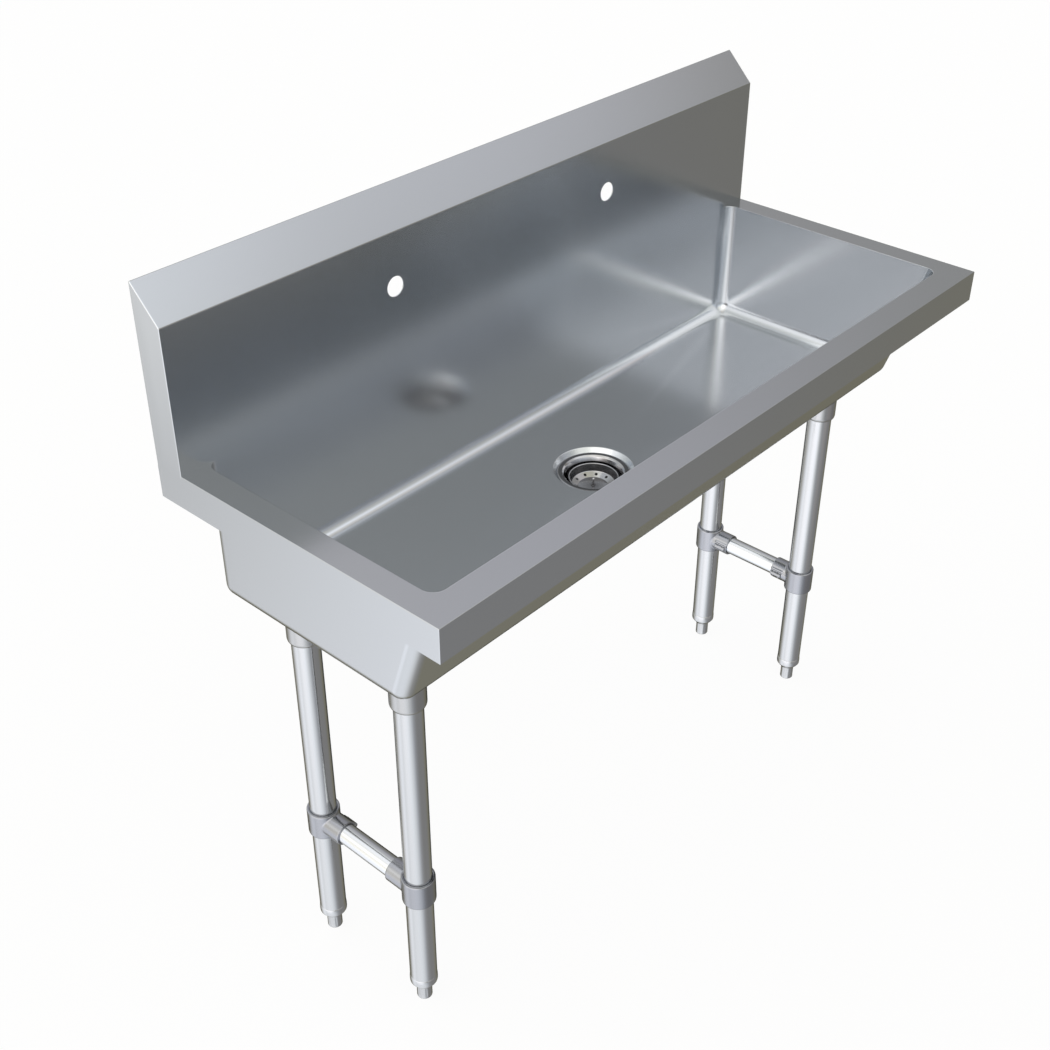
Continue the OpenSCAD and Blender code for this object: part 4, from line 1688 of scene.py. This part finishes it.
@dataclass
class Studio:
    """Pale floor and backdrop, and a soft surrounding light that is brightest on the left.

    The levels of the glows were fitted to the photograph. A negative one takes light away.
    """

    floor_half: float = 9.0
    floor_colour: Triple = (0.92, 0.92, 0.92)
    ambient: Triple = (0.248, 0.233, 0.173)
    glows: tuple[Glow, ...] = (
        Glow(190.0, 5.0, 20.0, 60.0, (0.756, 0.723, 0.745)),
        Glow(184.0, -38.0, 18.0, 60.0, (0.743, 0.774, 0.851)),
        Glow(130.0, -35.0, 8.0, 30.0, (0.400, 0.405, 0.444)),
        Glow(238.0, -35.0, 10.0, 35.0, (0.067, 0.084, 0.102)),
        Glow(125.0, 45.0, 20.0, 50.0, (0.502, 0.531, 0.570)),
        Glow(90.0, 5.0, 20.0, 50.0, (0.315, 0.329, 0.333)),
        Glow(75.0, 50.0, 20.0, 50.0, (0.237, 0.233, 0.297)),
        Glow(0.0, 90.0, 10.0, 60.0, (0.037, 0.052, 0.020)),
        Glow(180.0, 50.0, 20.0, 50.0, (0.355, 0.322, 0.302)),
        Glow(235.0, 30.0, 20.0, 50.0, (0.720, 0.734, 0.729)),
        Glow(275.0, 5.0, 20.0, 50.0, (0.209, 0.190, 0.182)),
        Glow(-48.0, 42.0, 14.0, 28.0, (0.139, 0.168, 0.216)),
        Glow(32.0, 30.0, 15.0, 40.0, (0.126, 0.132, 0.137)),
        Glow(290.0, -35.0, 20.0, 50.0, (0.026, 0.036, 0.097)),
        Glow(41.0, -37.0, 8.0, 38.0, (-0.218, -0.203, -0.143)),
        Glow(5.0, 30.0, 15.0, 48.0, (0.010, 0.016, 0.060)),
        Glow(215.0, -62.0, 12.0, 45.0, (0.164, 0.166, 0.179)),
        Glow(300.0, -62.0, 12.0, 45.0, (0.039, 0.039, 0.034)),
        Glow(-20.0, 50.0, 6.0, 20.0, (0.248, 0.237, 0.270)),
        Glow(-62.0, 60.0, 8.0, 24.0, (0.498, 0.511, 0.564)),
        Glow(-32.0, 53.0, 20.0, 32.0, (0.180, 0.168, 0.157)),
        Glow(-120.0, 78.0, 6.0, 30.0, (0.175, 0.170, 0.225)),
        Glow(40.0, 80.0, 6.0, 26.0, (0.159, 0.156, 0.088)),
        Glow(150.0, 10.0, 12.0, 36.0, (0.420, 0.400, 0.317)),
    )

    def set_up(self) -> None:
        """Builds the floor, the backdrop and the surrounding light."""
        self._world()
        paint = self._paint()
        half = self.floor_half
        flat = half * np.array([(-1, -1, 0), (1, -1, 0), (1, 1, 0), (-1, 1, 0)])
        floor = self._sheet("floor", flat, [(0, 1, 2, 3)], paint)
        # hidden from mirror rays: the steel shows the glows of the world and not this white
        # floor, although the paint below is made to show in metal; drop the line to show it
        floor.visible_glossy = False
        walls = np.concatenate([flat, flat + (0.0, 0.0, half)])
        sides = [(0, 4, 5, 1), (1, 5, 6, 2), (2, 6, 7, 3), (3, 7, 4, 0)]
        wall = self._sheet("backdrop", walls, sides, paint)
        # the backdrop is there for the camera; no mirror ray meets it and it stops no light
        wall.visible_glossy = wall.visible_diffuse = wall.visible_shadow = False
        bpy.context.scene.view_settings.view_transform = "Standard"

    @staticmethod
    def _sheet(
        name: str, points: np.ndarray, faces: list[tuple[int, ...]], paint: bpy.types.Material
    ) -> bpy.types.Object:
        """Adds a flat part of the stage.

        Args:
            name: its name.
            points: its corners.
            faces: corner numbers of each face.
            paint: its material.

        Returns:
            The object.
        """
        mesh = bpy.data.meshes.new(name)
        mesh.from_pydata(points.tolist(), [], faces)
        mesh.materials.append(paint)
        part = bpy.data.objects.new(name, mesh)
        bpy.context.scene.collection.objects.link(part)
        return part

    def _paint(self, share: float = 0.92) -> bpy.types.Material:
        """Pale paint that shows mostly as plain white and keeps a soft shadow.

        The mirror rays' share has no effect while the stage is hidden from those rays.

        Args:
            share: how much of what camera, mirror and transmission rays see is plain white.

        Returns:
            The material of floor and backdrop.
        """
        board = ShaderBoard("pale_floor")
        paint = board.add("ShaderNodeBsdfDiffuse", Color=(*self.floor_colour, 1.0))
        glow = board.add("ShaderNodeEmission", Color=(1.0, 1.0, 1.0, 1.0), Strength=1.0)
        rays = board.add("ShaderNodeLightPath").outputs
        plain = board.calculate("MAXIMUM", rays["Is Camera Ray"], rays["Is Glossy Ray"])
        plain = board.calculate("MAXIMUM", plain, rays["Is Transmission Ray"])
        mix = board.add("ShaderNodeMixShader")
        board.join(board.calculate("MULTIPLY", plain, share), mix.inputs["Fac"])
        board.join(paint.outputs["BSDF"], mix.inputs[1])
        board.join(glow.outputs["Emission"], mix.inputs[2])
        board.join(mix.outputs["Shader"], board.output.inputs["Surface"])
        return board.material

    def _world(self) -> None:
        """Adds up the glows over the ambient level, each fading smoothly with its angle."""
        world = bpy.data.worlds.new("studio_world")
        bpy.context.scene.world = world
        world.use_nodes = True
        tree = world.node_tree
        tree.nodes.clear()
        way = tree.nodes.new("ShaderNodeTexCoord").outputs["Generated"]
        total = tree.nodes.new("ShaderNodeCombineXYZ")
        for key, value in zip("XYZ", self.ambient):
            total.inputs[key].default_value = value
        level = total.outputs["Vector"]
        for glow in self.glows:
            toward = tree.nodes.new("ShaderNodeVectorMath")
            toward.operation = "DOT_PRODUCT"
            toward.inputs[1].default_value = glow.axis()
            tree.links.new(way, toward.inputs[0])
            fade = tree.nodes.new("ShaderNodeMapRange")
            fade.interpolation_type = "SMOOTHSTEP"
            fade.inputs["From Min"].default_value = math.cos(math.radians(glow.outer))
            fade.inputs["From Max"].default_value = math.cos(math.radians(glow.inner))
            tree.links.new(toward.outputs["Value"], fade.inputs["Value"])
            tint = tree.nodes.new("ShaderNodeVectorMath")
            tint.operation = "SCALE"
            tint.inputs[0].default_value = glow.colour
            tree.links.new(fade.outputs["Result"], tint.inputs["Scale"])
            add = tree.nodes.new("ShaderNodeVectorMath")
            tree.links.new(level, add.inputs[0])
            tree.links.new(tint.outputs["Vector"], add.inputs[1])
            level = add.outputs["Vector"]
        light = tree.nodes.new("ShaderNodeBackground")
        tree.links.new(level, light.inputs["Color"])
        out = tree.nodes.new("ShaderNodeOutputWorld")
        tree.links.new(light.outputs["Background"], out.inputs["Surface"])


@dataclass(frozen=True)
class PhotoCamera:
    """The camera at the photograph's place, with its lens and framing."""

    place: Triple = (-1.4691, -1.1446, 1.8751)
    right: Triple = (0.66526, -0.74661, 0.00214)
    down: Triple = (-0.41179, -0.36931, -0.83309)
    forward: Triple = (0.62278, 0.55334, -0.55313)
    lens: float = 50.16
    shift: tuple[float, float] = (-0.0038, -0.0309)

    def set_up(self) -> None:
        """Makes the camera and makes it the scene's own."""
        camera = bpy.data.cameras.new("camera")
        camera.lens = self.lens
        camera.sensor_width = 36.0
        camera.shift_x, camera.shift_y = self.shift
        holder = bpy.data.objects.new("camera", camera)
        bpy.context.scene.collection.objects.link(holder)
        turn = np.eye(4)
        turn[:3, 0] = self.right
        turn[:3, 1] = np.negative(self.down)
        turn[:3, 2] = np.negative(self.forward)
        turn[:3, 3] = self.place
        holder.matrix_world = Matrix(turn.tolist())
        bpy.context.scene.camera = holder


CORNERS = ("front_left", "rear_left", "front_right", "rear_right")


def dress_frame(finishes: Finishes) -> None:
    """Dresses every carried-over node.

    Args:
        finishes: the finishes to take materials from.
    """
    dresser = NodeDresser(finishes)
    f = finishes
    dresser.dress("drain_locknut", f.cast)
    dresser.dress("drain_gasket", f.rubber)
    dresser.dress("drain_friction_ring", f.fibre, 0.0)
    dresser.dress("strainer_stopper", f.rubber)
    for corner in CORNERS:
        dresser.dress(f"plate_{corner}", f.sheet)
        dresser.dress(f"socket_{corner}", f.socket)
        dresser.dress_casting(f"clamp_{corner}", f.cast)
    dresser.dress("socket_screws", f.screw, 0.0)
    dresser.dress("clamp_screws", f.screw, 0.0)


def main() -> None:
    """Builds the camera, the studio and the sink, one part after another."""
    logging.basicConfig(level=logging.INFO, format="%(message)s")
    PhotoCamera().set_up()
    Studio().set_up()
    finishes = Finishes()
    dress_frame(finishes)
    bowl = TroughBowl()
    bowl.build(finishes)
    RimDeck().build(finishes, bowl)
    Backsplash().build(finishes)
    Drain().build(finishes)
    Stand().build(finishes)


if __name__ == "__main__":
    main()
